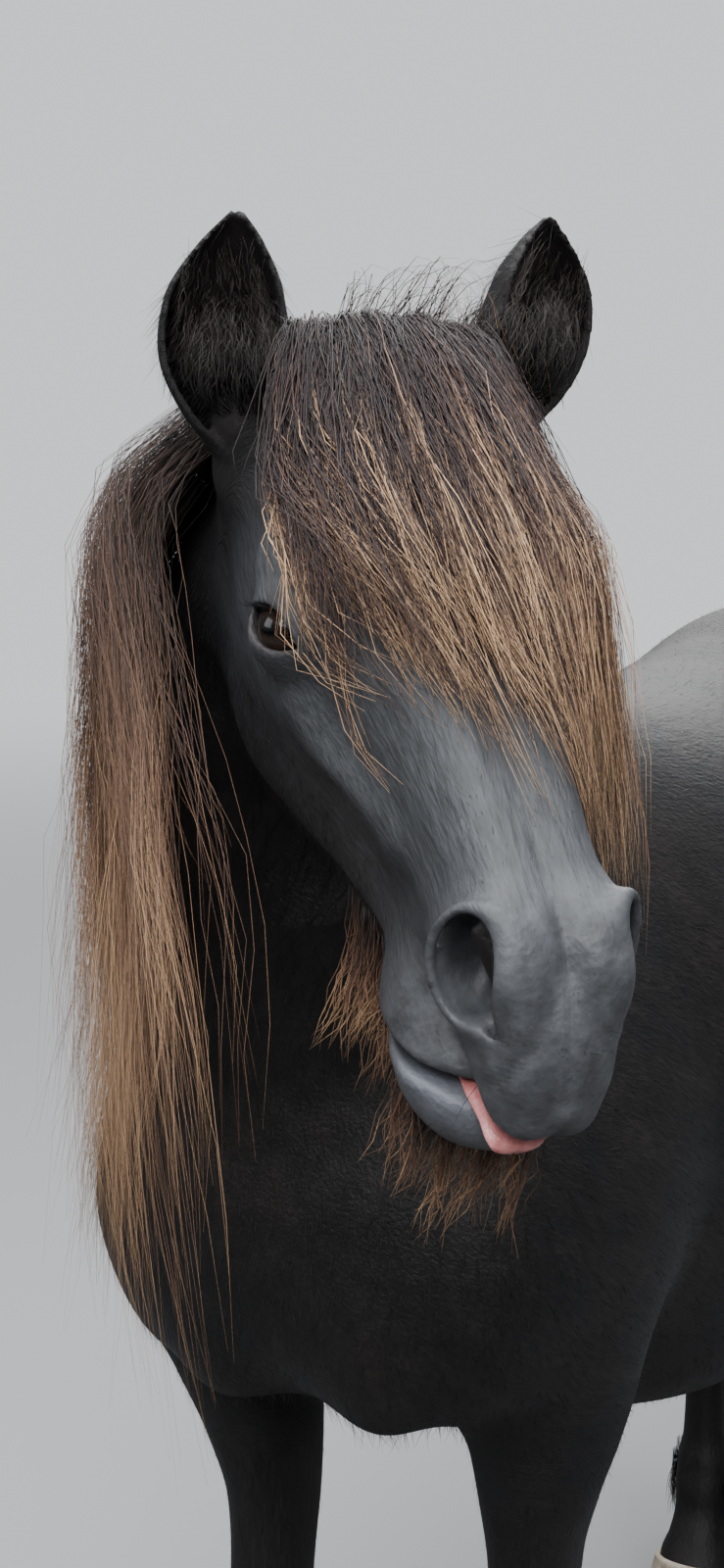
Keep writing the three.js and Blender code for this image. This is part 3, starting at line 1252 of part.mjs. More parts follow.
// Forelock: from the poll over the forehead, widening over the brow, longest on the left.
function forelockLocks() {
  const random = randomStream(11);
  const locks = [];
  for (let i = 0; i < COUNT.forelock; i++) {
    const a = i / (COUNT.forelock - 1);
    const layer = (i * 2) % 3;
    const x0 = lerp(-32, 30, a) + wavy(random, 4);
    const u0 = lerp(14, -20, layer / 2) + wavy(random, 4);
    const swing = lerp(-104, 126, a) + wavy(random, 8);
    const x1 = lerp(-44, 106, a) + wavy(random, 12);
    const length = 188 + 74 * Math.sin(0.72 * Math.PI * a) + wavy(random, 18);
    const path = [];
    const across = [];
    for (let k = 0; k < STATIONS.length; k++) {
      const s = STATIONS[k];
      const x = x0 * (1 - s) * (1 - s) + swing * 2 * s * (1 - s) + x1 * s * s;
      const u = u0 + length * s;
      const puff = 16 * Math.exp(-18 * (s - 0.14) * (s - 0.14));
      const lift = k === 0 ? -14 : 6 + 9 * layer + 6 * Math.sin(s * Math.PI) + puff;
      let w = 70;
      while (w > -200 && headField(x, u, w) > 0) w -= 2;
      const previous = k > 1 ? path[k - 1].w : w + lift;
      const height = Math.max(w + lift, k > 1 ? previous - 0.8 * length * (s - STATIONS[k - 1]) : -400);
      path.push({ x, u, w: height });
      across.push(new THREE.Vector3(1, -0.2, -0.5 * x / 90).transformDirection(headMatrix));
    }
    locks.push(lockSolid(path.map((q) => fromHead(q.x, q.u, q.w)), across, 25 + wavy(random, 5), 7));
  }
  return locks;
}
// Beard: along the underside of the jaw, hanging straight down.
const BEARD_STATIONS = 5;
function beardLocks() {
  const random = randomStream(23);
  const locks = [];
  for (let i = 0; i < COUNT.beard; i++) {
    const a = i / (COUNT.beard - 1);
    const u = lerp(198, 335, a) + wavy(random, 8);
    const x = wavy(random, 24);
    let w = -240;
    while (w < 0 && headField(x, u, w) > 0) w += 2;
    const start = fromHead(x, u, w + 12);
    const length = lerp(78, 70, a) + wavy(random, 14);
    const sweep = new THREE.Vector3(0.12, -0.1 - 0.1 * random(), 0);
    const path = [];
    const across = [];
    for (let k = 0; k < BEARD_STATIONS; k++) {
      const s = k / (BEARD_STATIONS - 1);
      path.push(start.clone().addScaledVector(down, length * s)
        .addScaledVector(sweep, length * s * s * 0.8));
      across.push(headU.clone().multiplyScalar(0.8).addScaledVector(headX, wavy(random, 0.2) + 0.4));
    }
    locks.push(lockSolid(path, across, 20, 6));
  }
  return locks;
}

// Mane: rooted along the crest, thrown to the right side, then hanging.
function maneLocks() {
  const random = randomStream(37);
  const locks = [];
  for (let i = 0; i < COUNT.mane; i++) {
    const a = i / (COUNT.mane - 1);
    const s0 = lerp(4.45, 0.9, a);
    const layer = i % 2;
    const [ny, nz] = crestPoint(s0);
    const [rx, ry] = turned(0, ny, nz);
    const [ax, ay] = turned(-20, ny, nz);
    const right = new THREE.Vector3(ax - rx, ay - ry, 0).normalize();
    const ahead = new THREE.Vector3(-right.y, right.x, 0);
    const length = lerp(530, 380, a) + wavy(random, 45);
    const drift = 16 + 14 * ((i * 3) % 5) * (1 - a);
    const reachOut = NECK.at(s0, 4) * 0.9 + 16 + 16 * layer + 24 * (1 - a) * (1 - a);
    const path = [];
    const across = [];
    const root = new THREE.Vector3(rx, ry, nz);
    for (let k = 0; k < STATIONS.length; k++) {
      const s = STATIONS[k];
      const p = root.clone();
      if (k === 0) {
        p.z -= 14;
      } else {
        p.addScaledVector(right, reachOut * Math.min(1, Math.pow(s * 4, 0.75)));
        p.z += 22 + 8 * layer - length * Math.pow(s, 1.3);
        p.addScaledVector(ahead, drift * s + wavy(random, 5));
      }
      const margin = k === 0 ? -100 : 11 + 9 * layer;
      path.push(pushedOut(p, right, margin, wholeField));
      across.push(ahead.clone().addScaledVector(right, wavy(random, 0.15)));
    }
    locks.push(lockSolid(path, across, 34 + wavy(random, 6), 9));
  }
  return locks;
}

// Tail: a core on the dock with long hanging locks. Core rows: y, z, half width, half depth.
const TAIL_COLUMNS = 14;
const TAIL_CORE = [
  [574, 852.4, 27, 27], [594, 842, 34, 30], [612, 816, 42, 32], [622, 760, 50, 34],
  [624, 680, 54, 34], [622, 600, 48, 30], [620, 520, 34, 22],
];
function tailSolid() {
  const rings = TAIL_CORE.map((row, k) => {
    const a = TAIL_CORE[Math.max(k - 1, 0)];
    const b = TAIL_CORE[Math.min(k + 1, TAIL_CORE.length - 1)];
    const along = new THREE.Vector3(0, b[0] - a[0], b[1] - a[1]).normalize();
    const up = new THREE.Vector3().crossVectors(new THREE.Vector3(1, 0, 0), along);
    const ring = [];
    for (let i = 0; i < TAIL_COLUMNS; i++) {
      const t = (i / TAIL_COLUMNS) * 2 * Math.PI;
      ring.push(new THREE.Vector3(0, row[0], row[1])
        .add(new THREE.Vector3(Math.cos(t) * row[2], 0, 0))
        .addScaledVector(up, Math.sin(t) * row[3]));
    }
    return ring;
  });
  let solid = solidOf(loft(rings, middle(rings[0]), new THREE.Vector3(0, 619, 470)));
  const random = randomStream(53);
  for (let i = 0; i < COUNT.tail; i++) {
    const a = (i / COUNT.tail) * 2 * Math.PI;
    const row = TAIL_CORE[1 + (i % 4)];
    const out = new THREE.Vector3(Math.cos(a), Math.sin(a) * 0.7, 0);
    const length = row[1] - 150 + wavy(random, 50);
    const path = [];
    const across = [];
    for (let k = 0; k < STATIONS.length; k++) {
      const s = STATIONS[k];
      const spread = lerp(row[2] * 0.72, 52, Math.min(1, s * 1.3)) + 12 * Math.sin(s * Math.PI);
      const p = new THREE.Vector3(0, lerp(row[0], 628, Math.min(1, s * 1.5)), row[1] - length * s);
      p.addScaledVector(out, spread + wavy(random, 3) * s);
      path.push(k === 0 ? p : pushedOut(p, new THREE.Vector3(0, 1, 0), 9, bodyField));
      across.push(new THREE.Vector3(-out.y, out.x, 0));
    }
    solid = solid.add(lockSolid(path, across, 38, 9));
  }
  return largest(solid.subtract(dockClear()));
}
function dockClear() {
  const z = DOCK_PLANE.normal.clone().normalize();
  const x = new THREE.Vector3(1, 0, 0);
  const y = new THREE.Vector3().crossVectors(z, x);
  const matrix = new THREE.Matrix4().makeBasis(x, y, z).setPosition(DOCK_PLANE.origin);
  return boxSolid([-60, -60, -120], [60, 60, HALF_GAP], matrix);
}

// Feather: short locks behind the fetlock, falling over the heels.
function featherLocks(kind, side) {
  const fore = kind === 'fore';
  const table = fore ? FORE : HIND;
  const random = randomStream(fore ? 61 : 67);
  const locks = [];
  for (let i = 0; i < COUNT.feather; i++) {
    const a = COUNT.feather > 1 ? lerp(-0.9, 0.9, i / (COUNT.feather - 1)) : 0;
    const z0 = 146 + 10 * Math.cos(a * 2) + wavy(random, 4);
    const [middleX, back] = standing(kind, side, z0);
    const out = new THREE.Vector3(Math.sin(a) * side, Math.cos(a), 0);
    const start = new THREE.Vector3(middleX + side * table.at(z0, 1), table.at(z0, 0) + back, z0)
      .addScaledVector(out, 18);
    const path = [];
    const across = [];
    for (let k = 0; k < 5; k++) {
      const s = k / 4;
      const p = start.clone().addScaledVector(down, 84 * s)
        .addScaledVector(out, 8 + 16 * Math.sin(s * 2.2));
      path.push(k === 0 ? start : pushedOut(p, out, 4, bodyField));
      across.push(new THREE.Vector3(out.y, -out.x, 0));
    }
    locks.push(lockSolid(path, across, 20, 6));
  }
  return locks;
}

// Assembly
function toMesh(name, solid, color, roughness) {
  const got = solid.getMesh();
  const stride = got.numProp;
  const flat = new Float32Array((got.vertProperties.length / stride) * 3);
  for (let i = 0; i < flat.length / 3; i++) {
    for (let c = 0; c < 3; c++) flat[3 * i + c] = got.vertProperties[stride * i + c];
  }
  const geometry = new THREE.BufferGeometry();
  geometry.setAttribute('position', new THREE.BufferAttribute(flat, 3));
  geometry.setIndex(new THREE.BufferAttribute(Uint32Array.from(got.triVerts), 1));
  geometry.computeVertexNormals();
  const mesh = new THREE.Mesh(geometry, new THREE.MeshStandardMaterial({ color, roughness }));
  mesh.name = name;
  return mesh;
}

const pony = new THREE.Group();
pony.name = 'shetland_pony';
const addNode = (name, solid, color, roughness) => {
  pony.add(toMesh(name, solid.translate([-CENTRE.x, -CENTRE.y, 0]), color, roughness));
};

const earSolids = {};
const earClear = {};
for (const side of [-1, 1]) {
  earSolids[side] = solidOf(earMesh(side, 0));
  earClear[side] = solidOf(earMesh(side, EAR_CLEAR));
}
const eyeAt = (side) => fromHead(side * EYE_CENTRE[0], EYE_CENTRE[1], EYE_CENTRE[2]);
const eyeAxis = (side) => new THREE.Vector3(side * EYE_AXIS.x, EYE_AXIS.y, EYE_AXIS.z)
  .transformDirection(headMatrix);
const eyeSolid = (side, grow) => solidOf(
  sphereMesh(eyeAt(side), EYE_RADIUS + grow, eyeAxis(side), EYE_ROWS, EYE_COLUMNS));

const torso = torsoSolid();
let neck = neckSolid();
for (const lock of maneLocks()) neck = neck.add(lock);
neck = neck.subtract(headClear()).subtract(shoulderClear());
let head = headSolid();
for (const lock of forelockLocks()) head = head.add(lock);
for (const lock of beardLocks()) head = head.add(lock);
for (const side of [-1, 1]) {
  head = head.subtract(eyeSolid(side, EYE_CLEAR)).subtract(earClear[side]);
  neck = neck.subtract(earClear[side]);
}
head = largest(head.subtract(solidOf(tongueMesh(GAP))));
neck = largest(neck);

addNode('torso', torso, COLORS.coat, 0.6);
addNode('neck', neck, COLORS.coat, 0.6);
addNode('head', head, COLORS.coat, 0.6);
for (const side of [-1, 1]) {
  const word = side > 0 ? 'left' : 'right';
  addNode(`ear_${word}`, largest(earSolids[side]), COLORS.coat, 0.7);
  addNode(`eye_${word}`, eyeSolid(side, 0), COLORS.eye, 0.05);
  for (const kind of ['fore', 'hind']) {
    let leg = legSolid(kind, side);
    for (const lock of featherLocks(kind, side)) leg = leg.add(lock);
    const pale = kind === 'hind' && side < 0;
    const hoof = hoofMesh(kind, side);
    addNode(`${kind}leg_${word}`, largest(leg), COLORS.coat, 0.6);
    addNode(`hoof_${kind}_${word}`, solidOf(hoof), pale ? COLORS.paleHorn : COLORS.horn, 0.5);
  }
}
addNode('tongue', solidOf(tongueMesh(0)), COLORS.tongue, 0.35);
addNode('tail', tailSolid(), COLORS.mane, 0.7);

export default pony;
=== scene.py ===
"""A life-size Shetland pony standing still, head turned to its left.

Sizes are millimetres in the pony's own frame (x to its left, y to its rear, z up) and are
turned to metres in the row frame when a mesh is made.
"""
import math

import bpy
import numpy as np
import openvdb as vdb
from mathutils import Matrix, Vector


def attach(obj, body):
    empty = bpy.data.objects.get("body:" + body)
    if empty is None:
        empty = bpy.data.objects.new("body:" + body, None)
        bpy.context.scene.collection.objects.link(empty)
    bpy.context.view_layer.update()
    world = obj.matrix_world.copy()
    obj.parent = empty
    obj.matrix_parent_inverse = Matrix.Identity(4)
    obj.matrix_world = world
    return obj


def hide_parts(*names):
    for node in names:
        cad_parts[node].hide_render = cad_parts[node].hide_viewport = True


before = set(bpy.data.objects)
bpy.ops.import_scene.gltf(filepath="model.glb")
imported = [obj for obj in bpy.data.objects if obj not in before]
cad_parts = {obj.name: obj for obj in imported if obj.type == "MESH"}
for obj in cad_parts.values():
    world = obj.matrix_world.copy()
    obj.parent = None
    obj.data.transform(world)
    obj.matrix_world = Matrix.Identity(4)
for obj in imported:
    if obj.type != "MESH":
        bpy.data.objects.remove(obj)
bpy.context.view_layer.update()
SIDE_WORDS = {1: "left", -1: "right"}

# Driving sizes
CENTRE = np.array([57.0, -49.0, 0.0])
POLL = (-634.0, 1184.0)
BEND_START_Y = -400.0
BEND_LENGTH = 170.0
BEND_HOLD = 170.0
BEND_HOLD_LOW = 800.0
BEND_HOLD_HIGH = 1010.0
HEAD_TURN = math.radians(50)
HEAD_PITCH = math.radians(43)
FORE_STANCE = {1: 94.0, -1: 106.0}
HIND_STANCE = {1: 90.0, -1: 82.0}
HIND_INWARD = {1: 0.0, -1: 44.0}
FORE_SHIFT = {1: 14.0, -1: -12.0}
HIND_SHIFT = {1: 34.0, -1: -58.0}
SHIFT_FADE = 560.0


# Helpers on arrays
def smoothstep(lo, hi, v):
    t = np.clip((v - lo) / (hi - lo), 0, 1)
    return t * t * (3 - 2 * t)


def smooth_min(a, b, k):
    h = np.maximum(k - np.abs(a - b), 0) / k
    return np.minimum(a, b) - h * h * k * 0.25


def smooth_max(a, b, k):
    return -smooth_min(-a, -b, k)


def unit(v):
    v = np.asarray(v, float)
    return v / np.maximum(np.linalg.norm(v, axis=-1, keepdims=True), 1e-9)


TABLE_STEPS = 240


class Profile:
    """Monotone cubic through rows [t, v1, v2, ...], sampled on an even table."""

    def __init__(self, rows, squared=()):
        rows = np.array(rows, float)
        for c in squared:
            rows[:, c] **= 2
        t = rows[:, 0]
        self.t0, self.t1 = t[0], t[-1]
        self.grid = np.linspace(self.t0, self.t1, TABLE_STEPS + 1)
        self.table = []
        h = np.diff(t)
        for c in range(1, rows.shape[1]):
            v = rows[:, c]
            d = np.diff(v) / h
            slope = np.zeros(len(t))
            slope[0], slope[-1] = d[0], d[-1]
            for i in range(1, len(t) - 1):
                if d[i - 1] * d[i] > 0:
                    w1 = 2 * h[i] + h[i - 1]
                    w2 = h[i] + 2 * h[i - 1]
                    slope[i] = (w1 + w2) / (w1 / d[i - 1] + w2 / d[i])
            i = np.clip(np.searchsorted(t, self.grid, side="left") - 1, 0, len(t) - 2)
            s = (self.grid - t[i]) / h[i]
            s2, s3 = s * s, s * s * s
            self.table.append((2 * s3 - 3 * s2 + 1) * v[i] + (s3 - 2 * s2 + s) * h[i] * slope[i]
                              + (3 * s2 - 2 * s3) * v[i + 1] + (s3 - s2) * h[i] * slope[i + 1])

    def at(self, t, c):
        return np.interp(t, self.grid, self.table[c])

    def root(self, t, c):
        return np.sqrt(np.maximum(self.at(t, c), 1e-6))


def section_distance(a, b, ha, hb, n):
    r = np.hypot(a, b)
    k = np.power(np.power(np.abs(a) / ha, n) + np.power(np.abs(b) / hb, n), 1 / n)
    return np.where(r < 1e-6, -np.minimum(ha, hb), r - r / np.maximum(k, 1e-9))


def ellipsoid(x, y, z, c, r):
    dx, dy, dz = x - c[0], y - c[1], z - c[2]
    d = np.sqrt(dx * dx + dy * dy + dz * dz)
    k = np.sqrt((dx / r[0]) ** 2 + (dy / r[1]) ** 2 + (dz / r[2]) ** 2)
    return np.where(d < 1e-6, -min(r), d - d / np.maximum(k, 1e-9))


def capsule(x, y, z, a, b, ra, rb):
    e = np.subtract(b, a).astype(float)
    t = ((x - a[0]) * e[0] + (y - a[1]) * e[1] + (z - a[2]) * e[2]) / float(e @ e)
    t = np.clip(t, 0, 1)
    d = np.sqrt((x - a[0] - e[0] * t) ** 2 + (y - a[1] - e[1] * t) ** 2
                + (z - a[2] - e[2] * t) ** 2)
    return d - (ra + (rb - ra) * t)


def capped(f, over):
    return np.where(over > 0, np.hypot(np.maximum(f, 0), over), f)


# Trunk: y, centre height, reach up, reach down, half width, roundness
TRUNK = Profile([
    [-518, 672, 0, 0, 0, 2.3], [-506, 672, 60, 74, 88, 2.3], [-483, 674, 92, 110, 124, 2.3],
    [-450, 678, 122, 138, 144, 2.25], [-400, 684, 175, 164, 158, 2.15],
    [-340, 690, 225, 190, 163, 2.0], [-270, 695, 268, 216, 170, 1.85],
    [-220, 695, 279, 237, 178, 1.8], [-150, 690, 272, 268, 192, 1.9],
    [-50, 682, 264, 286, 208, 2.05], [50, 677, 262, 290, 214, 2.1],
    [150, 677, 266, 280, 209, 2.1], [230, 686, 268, 250, 194, 2.1],
    [300, 706, 267, 214, 178, 2.1], [370, 726, 248, 172, 160, 2.1],
    [430, 746, 212, 152, 140, 2.1], [480, 766, 166, 122, 110, 2.05],
    [520, 780, 112, 82, 76, 2.0], [545, 786, 0, 0, 0, 2.0]], (2, 3, 4))

# Legs: height, centre y, how far outside the foot, half depth, half width
FORE = Profile([
    [36, -366, 0, 38, 36], [60, -358, 0, 36, 34], [76, -355, 0, 29, 28], [96, -350, 0, 25, 25],
    [120, -341, 0, 32, 27], [136, -336, 0, 32, 27], [158, -334, 0, 27, 22],
    [195, -333, 0, 25, 19], [235, -333, 0, 25, 19], [265, -334, 0, 28, 24],
    [292, -336, 0, 32, 30], [316, -336, 0, 34, 30], [345, -333, 0, 35, 29],
    [400, -329, 1, 41, 31], [450, -334, 6, 47, 40], [500, -343, 14, 55, 51],
    [545, -350, 20, 71, 58], [600, -345, 23, 99, 61], [660, -334, 24, 124, 59],
    [720, -318, 19, 118, 48], [780, -286, 1, 92, 40], [830, -268, -17, 60, 26],
    [862, -262, -23, 0, 0]], (3, 4))
HIND = Profile([
    [36, 366, 0, 38, 36], [60, 374, 0, 36, 34], [76, 378, 0, 29, 28], [97, 386, 0, 26, 25],
    [125, 396, 0, 32, 27], [141, 400, 0, 32, 27], [165, 402, 0, 28, 22], [210, 405, 0, 27, 20],
    [260, 408, 0, 28, 21], [300, 412, 0, 33, 24], [340, 418, 1, 40, 29], [370, 425, 2, 43, 30],
    [395, 430, 3, 40, 28], [420, 426, 4, 37, 27], [450, 412, 6, 42, 28], [500, 390, 9, 60, 35],
    [550, 371, 15, 86, 44], [600, 356, 21, 110, 52], [650, 360, 25, 131, 58],
    [700, 372, 26, 146, 61], [750, 382, 24, 146, 62], [800, 385, 18, 130, 60],
    [850, 385, 11, 105, 54], [900, 385, 1, 70, 44], [940, 385, -4, 0, 0]], (3, 4))
# Neck: station, middle y, middle z, reach to the crest, reach to the throat, half width, egg
NECK = Profile([
    [0, -360, 850, 165, 176, 112, 0.30], [1, -415, 925, 146, 137, 109, 0.34],
    [2, -458, 985, 117, 102, 99, 0.34], [3, -500, 1038, 92, 80, 88, 0.28],
    [4, -545, 1075, 75, 70, 78, 0.20], [5, -602, 1098, 70, 66, 68, 0.10]])
# The nearest station of the neck is first sought in steps of this size
COARSE = 12
# Root of the tail
DOCK = ([0, 496, 884], [0, 590, 846], 46, 27)
DOCK_END = ([0, 590, 846], [0, 622, 700], 25, 14)


def trunk_field(x, y, z):
    dz = z - TRUNK.at(y, 0)
    up = dz > 0
    half = np.sqrt(np.maximum(np.where(up, TRUNK.at(y, 1), TRUNK.at(y, 2)), 1e-6))
    roundness = np.where(up, TRUNK.at(y, 4), 2.1 + 0.7 * smoothstep(-360, -180, y))
    f = section_distance(x, dz, TRUNK.root(y, 3), half, roundness)
    return capped(f, np.maximum(np.maximum(TRUNK.t0 - y, y - TRUNK.t1), 0))


def faded(z):
    return np.clip((SHIFT_FADE - z) / SHIFT_FADE, 0, 1)


def leg_field(table, out, y, z, shift):
    f = section_distance(out - table.at(z, 1), y - shift * faded(z) - table.at(z, 0),
                         table.root(z, 3), table.root(z, 2), 2.15)
    return capped(f, np.maximum(np.maximum(table.t0 - z, z - table.t1), 0))


def fore_leg(x, y, z, side):
    xs = x * side - FORE_STANCE[side]
    yy = y - FORE_SHIFT[side] * faded(z)
    f = leg_field(FORE, xs, y, z, FORE_SHIFT[side])
    f = smooth_min(f, ellipsoid(xs, yy, z, [0, -352, 306], [25, 16, 26]), 10)
    f = smooth_min(f, capsule(xs, yy, z, [0, -316, 322], [1, -308, 340], 10, 8), 12)
    f = smooth_min(f, capsule(xs, yy, z, [0, -322, 130], [0, -316, 118], 11, 9), 12)
    f = smooth_max(f, -capsule(xs, yy, z, [24, -332, 170], [23, -334, 262], 4, 4), 6)
    return smooth_max(f, -capsule(xs, yy, z, [-24, -332, 170], [-23, -334, 262], 4, 4), 6)


def hind_leg(x, y, z, side):
    xs = x * side - HIND_STANCE[side] + HIND_INWARD[side] * faded(z)
    yy = y - HIND_SHIFT[side] * faded(z)
    f = leg_field(HIND, xs, y, z, HIND_SHIFT[side])
    f = smooth_min(f, capsule(xs, yy, z, [2, 446, 372], [2, 462, 412], 15, 12), 16)
    f = smooth_min(f, capsule(xs, yy, z, [2, 462, 412], [6, 440, 500], 10, 12), 18)
    f = smooth_min(f, capsule(xs, yy, z, [0, 413, 134], [0, 418, 122], 11, 9), 12)
    f = smooth_min(f, ellipsoid(xs, yy, z, [0, 392, 352], [24, 18, 26]), 12)
    f = smooth_max(f, -capsule(xs, yy, z, [25, 404, 170], [25, 408, 290], 4, 4), 6)
    return smooth_max(f, -capsule(xs, yy, z, [-25, 404, 170], [-25, 408, 290], 4, 4), 6)


def standing(kind, side, z):
    """Middle of a leg at a height: x, and how far it stands back."""
    if kind == "fore":
        return side * FORE_STANCE[side], FORE_SHIFT[side] * faded(z)
    return side * (HIND_STANCE[side] - HIND_INWARD[side] * faded(z)), HIND_SHIFT[side] * faded(z)


def neck_station(i):
    my, mz = NECK.table[0], NECK.table[1]
    lo, up = np.maximum(i - 1, 0), np.minimum(i + 1, TABLE_STEPS)
    ty, tz = my[up] - my[lo], mz[up] - mz[lo]
    n = np.hypot(ty, tz)
    return my[i], mz[i], ty / n, tz / n


def neck_neutral(x, y, z):
    """The neck as it would be with the head straight ahead."""
    my, mz = NECK.table[0], NECK.table[1]
    at = np.zeros(len(y), int)
    best = (y - my[0]) ** 2 + (z - mz[0]) ** 2
    for i in range(COARSE, TABLE_STEPS + 1, COARSE):
        d = (y - my[i]) ** 2 + (z - mz[i]) ** 2
        closer = d < best
        at[closer] = i
        best = np.minimum(best, d)
    start = at.copy()
    for k in range(-COARSE, COARSE + 1):
        i = np.clip(start + k, 0, TABLE_STEPS)
        d = (y - my[i]) ** 2 + (z - mz[i]) ** 2
        closer = d < best
        at[closer] = i[closer]
        best = np.minimum(best, d)
    cy, cz, ty, tz = neck_station(at)
    along = (y - cy) * ty + (z - cz) * tz
    b = (y - cy) * tz - (z - cz) * ty
    step = (NECK.t1 - NECK.t0) / TABLE_STEPS
    s = np.clip(NECK.t0 + at * step + along * step / 2, NECK.t0, NECK.t1)
    half = np.where(b > 0, NECK.at(s, 2), NECK.at(s, 3))
    hw = NECK.at(s, 4) * (1 - NECK.at(s, 5) * np.clip(b / half, -1, 1))
    f = section_distance(x, b, hw, half, 2.1)
    ends = (at == 0) | (at == TABLE_STEPS)
    return capped(f, np.where(ends, np.abs(along), 0))


def crest_point(s):
    """Height and place of the crest at a station of the straight neck."""
    i = np.round((np.asarray(s, float) - NECK.t0) / (NECK.t1 - NECK.t0) * TABLE_STEPS).astype(int)
    cy, cz, ty, tz = neck_station(i)
    up = NECK.at(s, 2)
    return cy + tz * up, cz - ty * up


# The turn of the neck
BEND_RADIUS = BEND_LENGTH / HEAD_TURN
BEND_END = (BEND_RADIUS * (1 - math.cos(HEAD_TURN)),
            BEND_START_Y - BEND_RADIUS * math.sin(HEAD_TURN))


def bend_start(z):
    return BEND_START_Y - BEND_HOLD * (1 - smoothstep(BEND_HOLD_LOW, BEND_HOLD_HIGH, z))


def straightened(x, y, z):
    """Places in the turned neck, as if it ran straight ahead."""
    start = bend_start(z)
    phi = np.arctan2(start - y, BEND_RADIUS - x)
    r = np.hypot(BEND_RADIUS - x, start - y)
    s, c = math.sin(HEAD_TURN), math.cos(HEAD_TURN)
    qx = x - BEND_END[0]
    qy = y - BEND_END[1] - (start - BEND_START_Y)
    turned_x = np.where(phi <= HEAD_TURN, BEND_RADIUS - r, qx * c + qy * s)
    turned_y = np.where(phi <= HEAD_TURN, start - phi * BEND_RADIUS,
                        start - BEND_LENGTH - (qx * s - qy * c))
    ahead = y < start
    return np.where(ahead, turned_x, x), np.where(ahead, turned_y, y)


def turned(x, y, z):
    """The other way about: places of the straight neck once it is turned."""
    start = bend_start(z)
    along = start - y
    phi = np.minimum(along / BEND_RADIUS, HEAD_TURN)
    s, c = np.sin(phi), np.cos(phi)
    rest = along - phi * BEND_RADIUS
    tx = BEND_RADIUS - (BEND_RADIUS - x) * c + rest * s
    ty = start - (BEND_RADIUS - x) * s - rest * c
    ahead = y < start
    return np.where(ahead, tx, x), np.where(ahead, ty, y)


# Head frame: x to its left, u down the face from the poll, w out of the forehead
head_forward = np.array([math.sin(HEAD_TURN), -math.cos(HEAD_TURN), 0])
HEAD_U = head_forward * math.cos(HEAD_PITCH) + np.array([0, 0, -math.sin(HEAD_PITCH)])
HEAD_X = np.array([math.cos(HEAD_TURN), math.sin(HEAD_TURN), 0])
HEAD_W = unit(np.cross(HEAD_U, HEAD_X))
poll_x, poll_y = turned(np.array([0.0]), np.array([POLL[0]]), np.array([POLL[1]]))
HEAD_ORIGIN = np.array([poll_x[0], poll_y[0], POLL[1]])
HEAD_AXES = np.stack([HEAD_X, HEAD_U, HEAD_W])


def from_head(p):
    return np.asarray(p, float) @ HEAD_AXES + HEAD_ORIGIN


def to_head(p):
    return (np.asarray(p, float) - HEAD_ORIGIN) @ HEAD_AXES.T


# Face and jaw: u, middle, half depth, half width
FACE = Profile([
    [-42, -62, 22, 24, 2.0], [-20, -60, 44, 46, 2.1], [10, -62, 64, 62, 2.2],
    [50, -68, 76, 71, 2.4], [95, -64, 75, 76, 2.6], [145, -56, 65, 71, 2.5],
    [195, -50, 54, 54, 2.3], [245, -47, 46, 44, 2.2], [290, -46, 42, 41, 2.2],
    [328, -48, 41, 42, 2.2], [350, -52, 38, 38, 2.2], [368, -58, 33, 33, 2.2],
    [383, -64, 23, 25, 2.1], [392, -68, 0, 0, 2.0]], (2, 3))
JAW = Profile([
    [8, -105, 0, 0], [22, -110, 42, 36], [55, -116, 66, 60], [105, -112, 78, 66],
    [160, -105, 72, 60], [210, -98, 58, 47], [260, -96, 43, 39], [300, -108, 36, 49],
    [335, -117, 33, 48], [356, -118, 28, 40], [372, -118, 18, 26], [381, -117, 0, 0]], (2, 3))


def along_u(table, x, u, w, n):
    f = section_distance(x, w - table.at(u, 0), table.root(u, 2), table.root(u, 1), n)
    return capped(f, np.maximum(np.maximum(table.t0 - u, u - table.t1), 0))


# Eye and nostril frames on the left half of the head
EYE_CENTRE = np.array([65.0, 136.0, -37.0])
EYE_RADIUS = 20.0
EYE_AXIS = unit([0.86, 0.2, 0.4])
EYE_LONG = unit(-np.cross(np.cross([0, 1, 0.45], EYE_AXIS), EYE_AXIS))
EYE_UP = unit(np.cross(EYE_LONG, EYE_AXIS))
if EYE_UP[2] < 0:
    EYE_UP = -EYE_UP
LID = 4.5
EYE_HALF_LENGTH = 18.5
EYE_OPEN_UP = 9.5
EYE_OPEN_DOWN = 8.5
NOSTRIL_CENTRE = np.array([27.0, 330.0, -34.0])
NOSTRIL_AXIS = unit([0.70, 0.62, 0.36])
nostril_long = np.array([-0.05, 0.52, -0.81])
NOSTRIL_LONG = unit(nostril_long - NOSTRIL_AXIS * (nostril_long @ NOSTRIL_AXIS))
NOSTRIL_SHORT = np.cross(NOSTRIL_AXIS, NOSTRIL_LONG)


def coordinates(ax, u, w, centre, axes):
    d = np.stack([ax - centre[0], u - centre[1], w - centre[2]])
    return [a[0] * d[0] + a[1] * d[1] + a[2] * d[2] for a in axes]


def mouth_line(u):
    return -130 + 38 * smoothstep(278, 392, u)


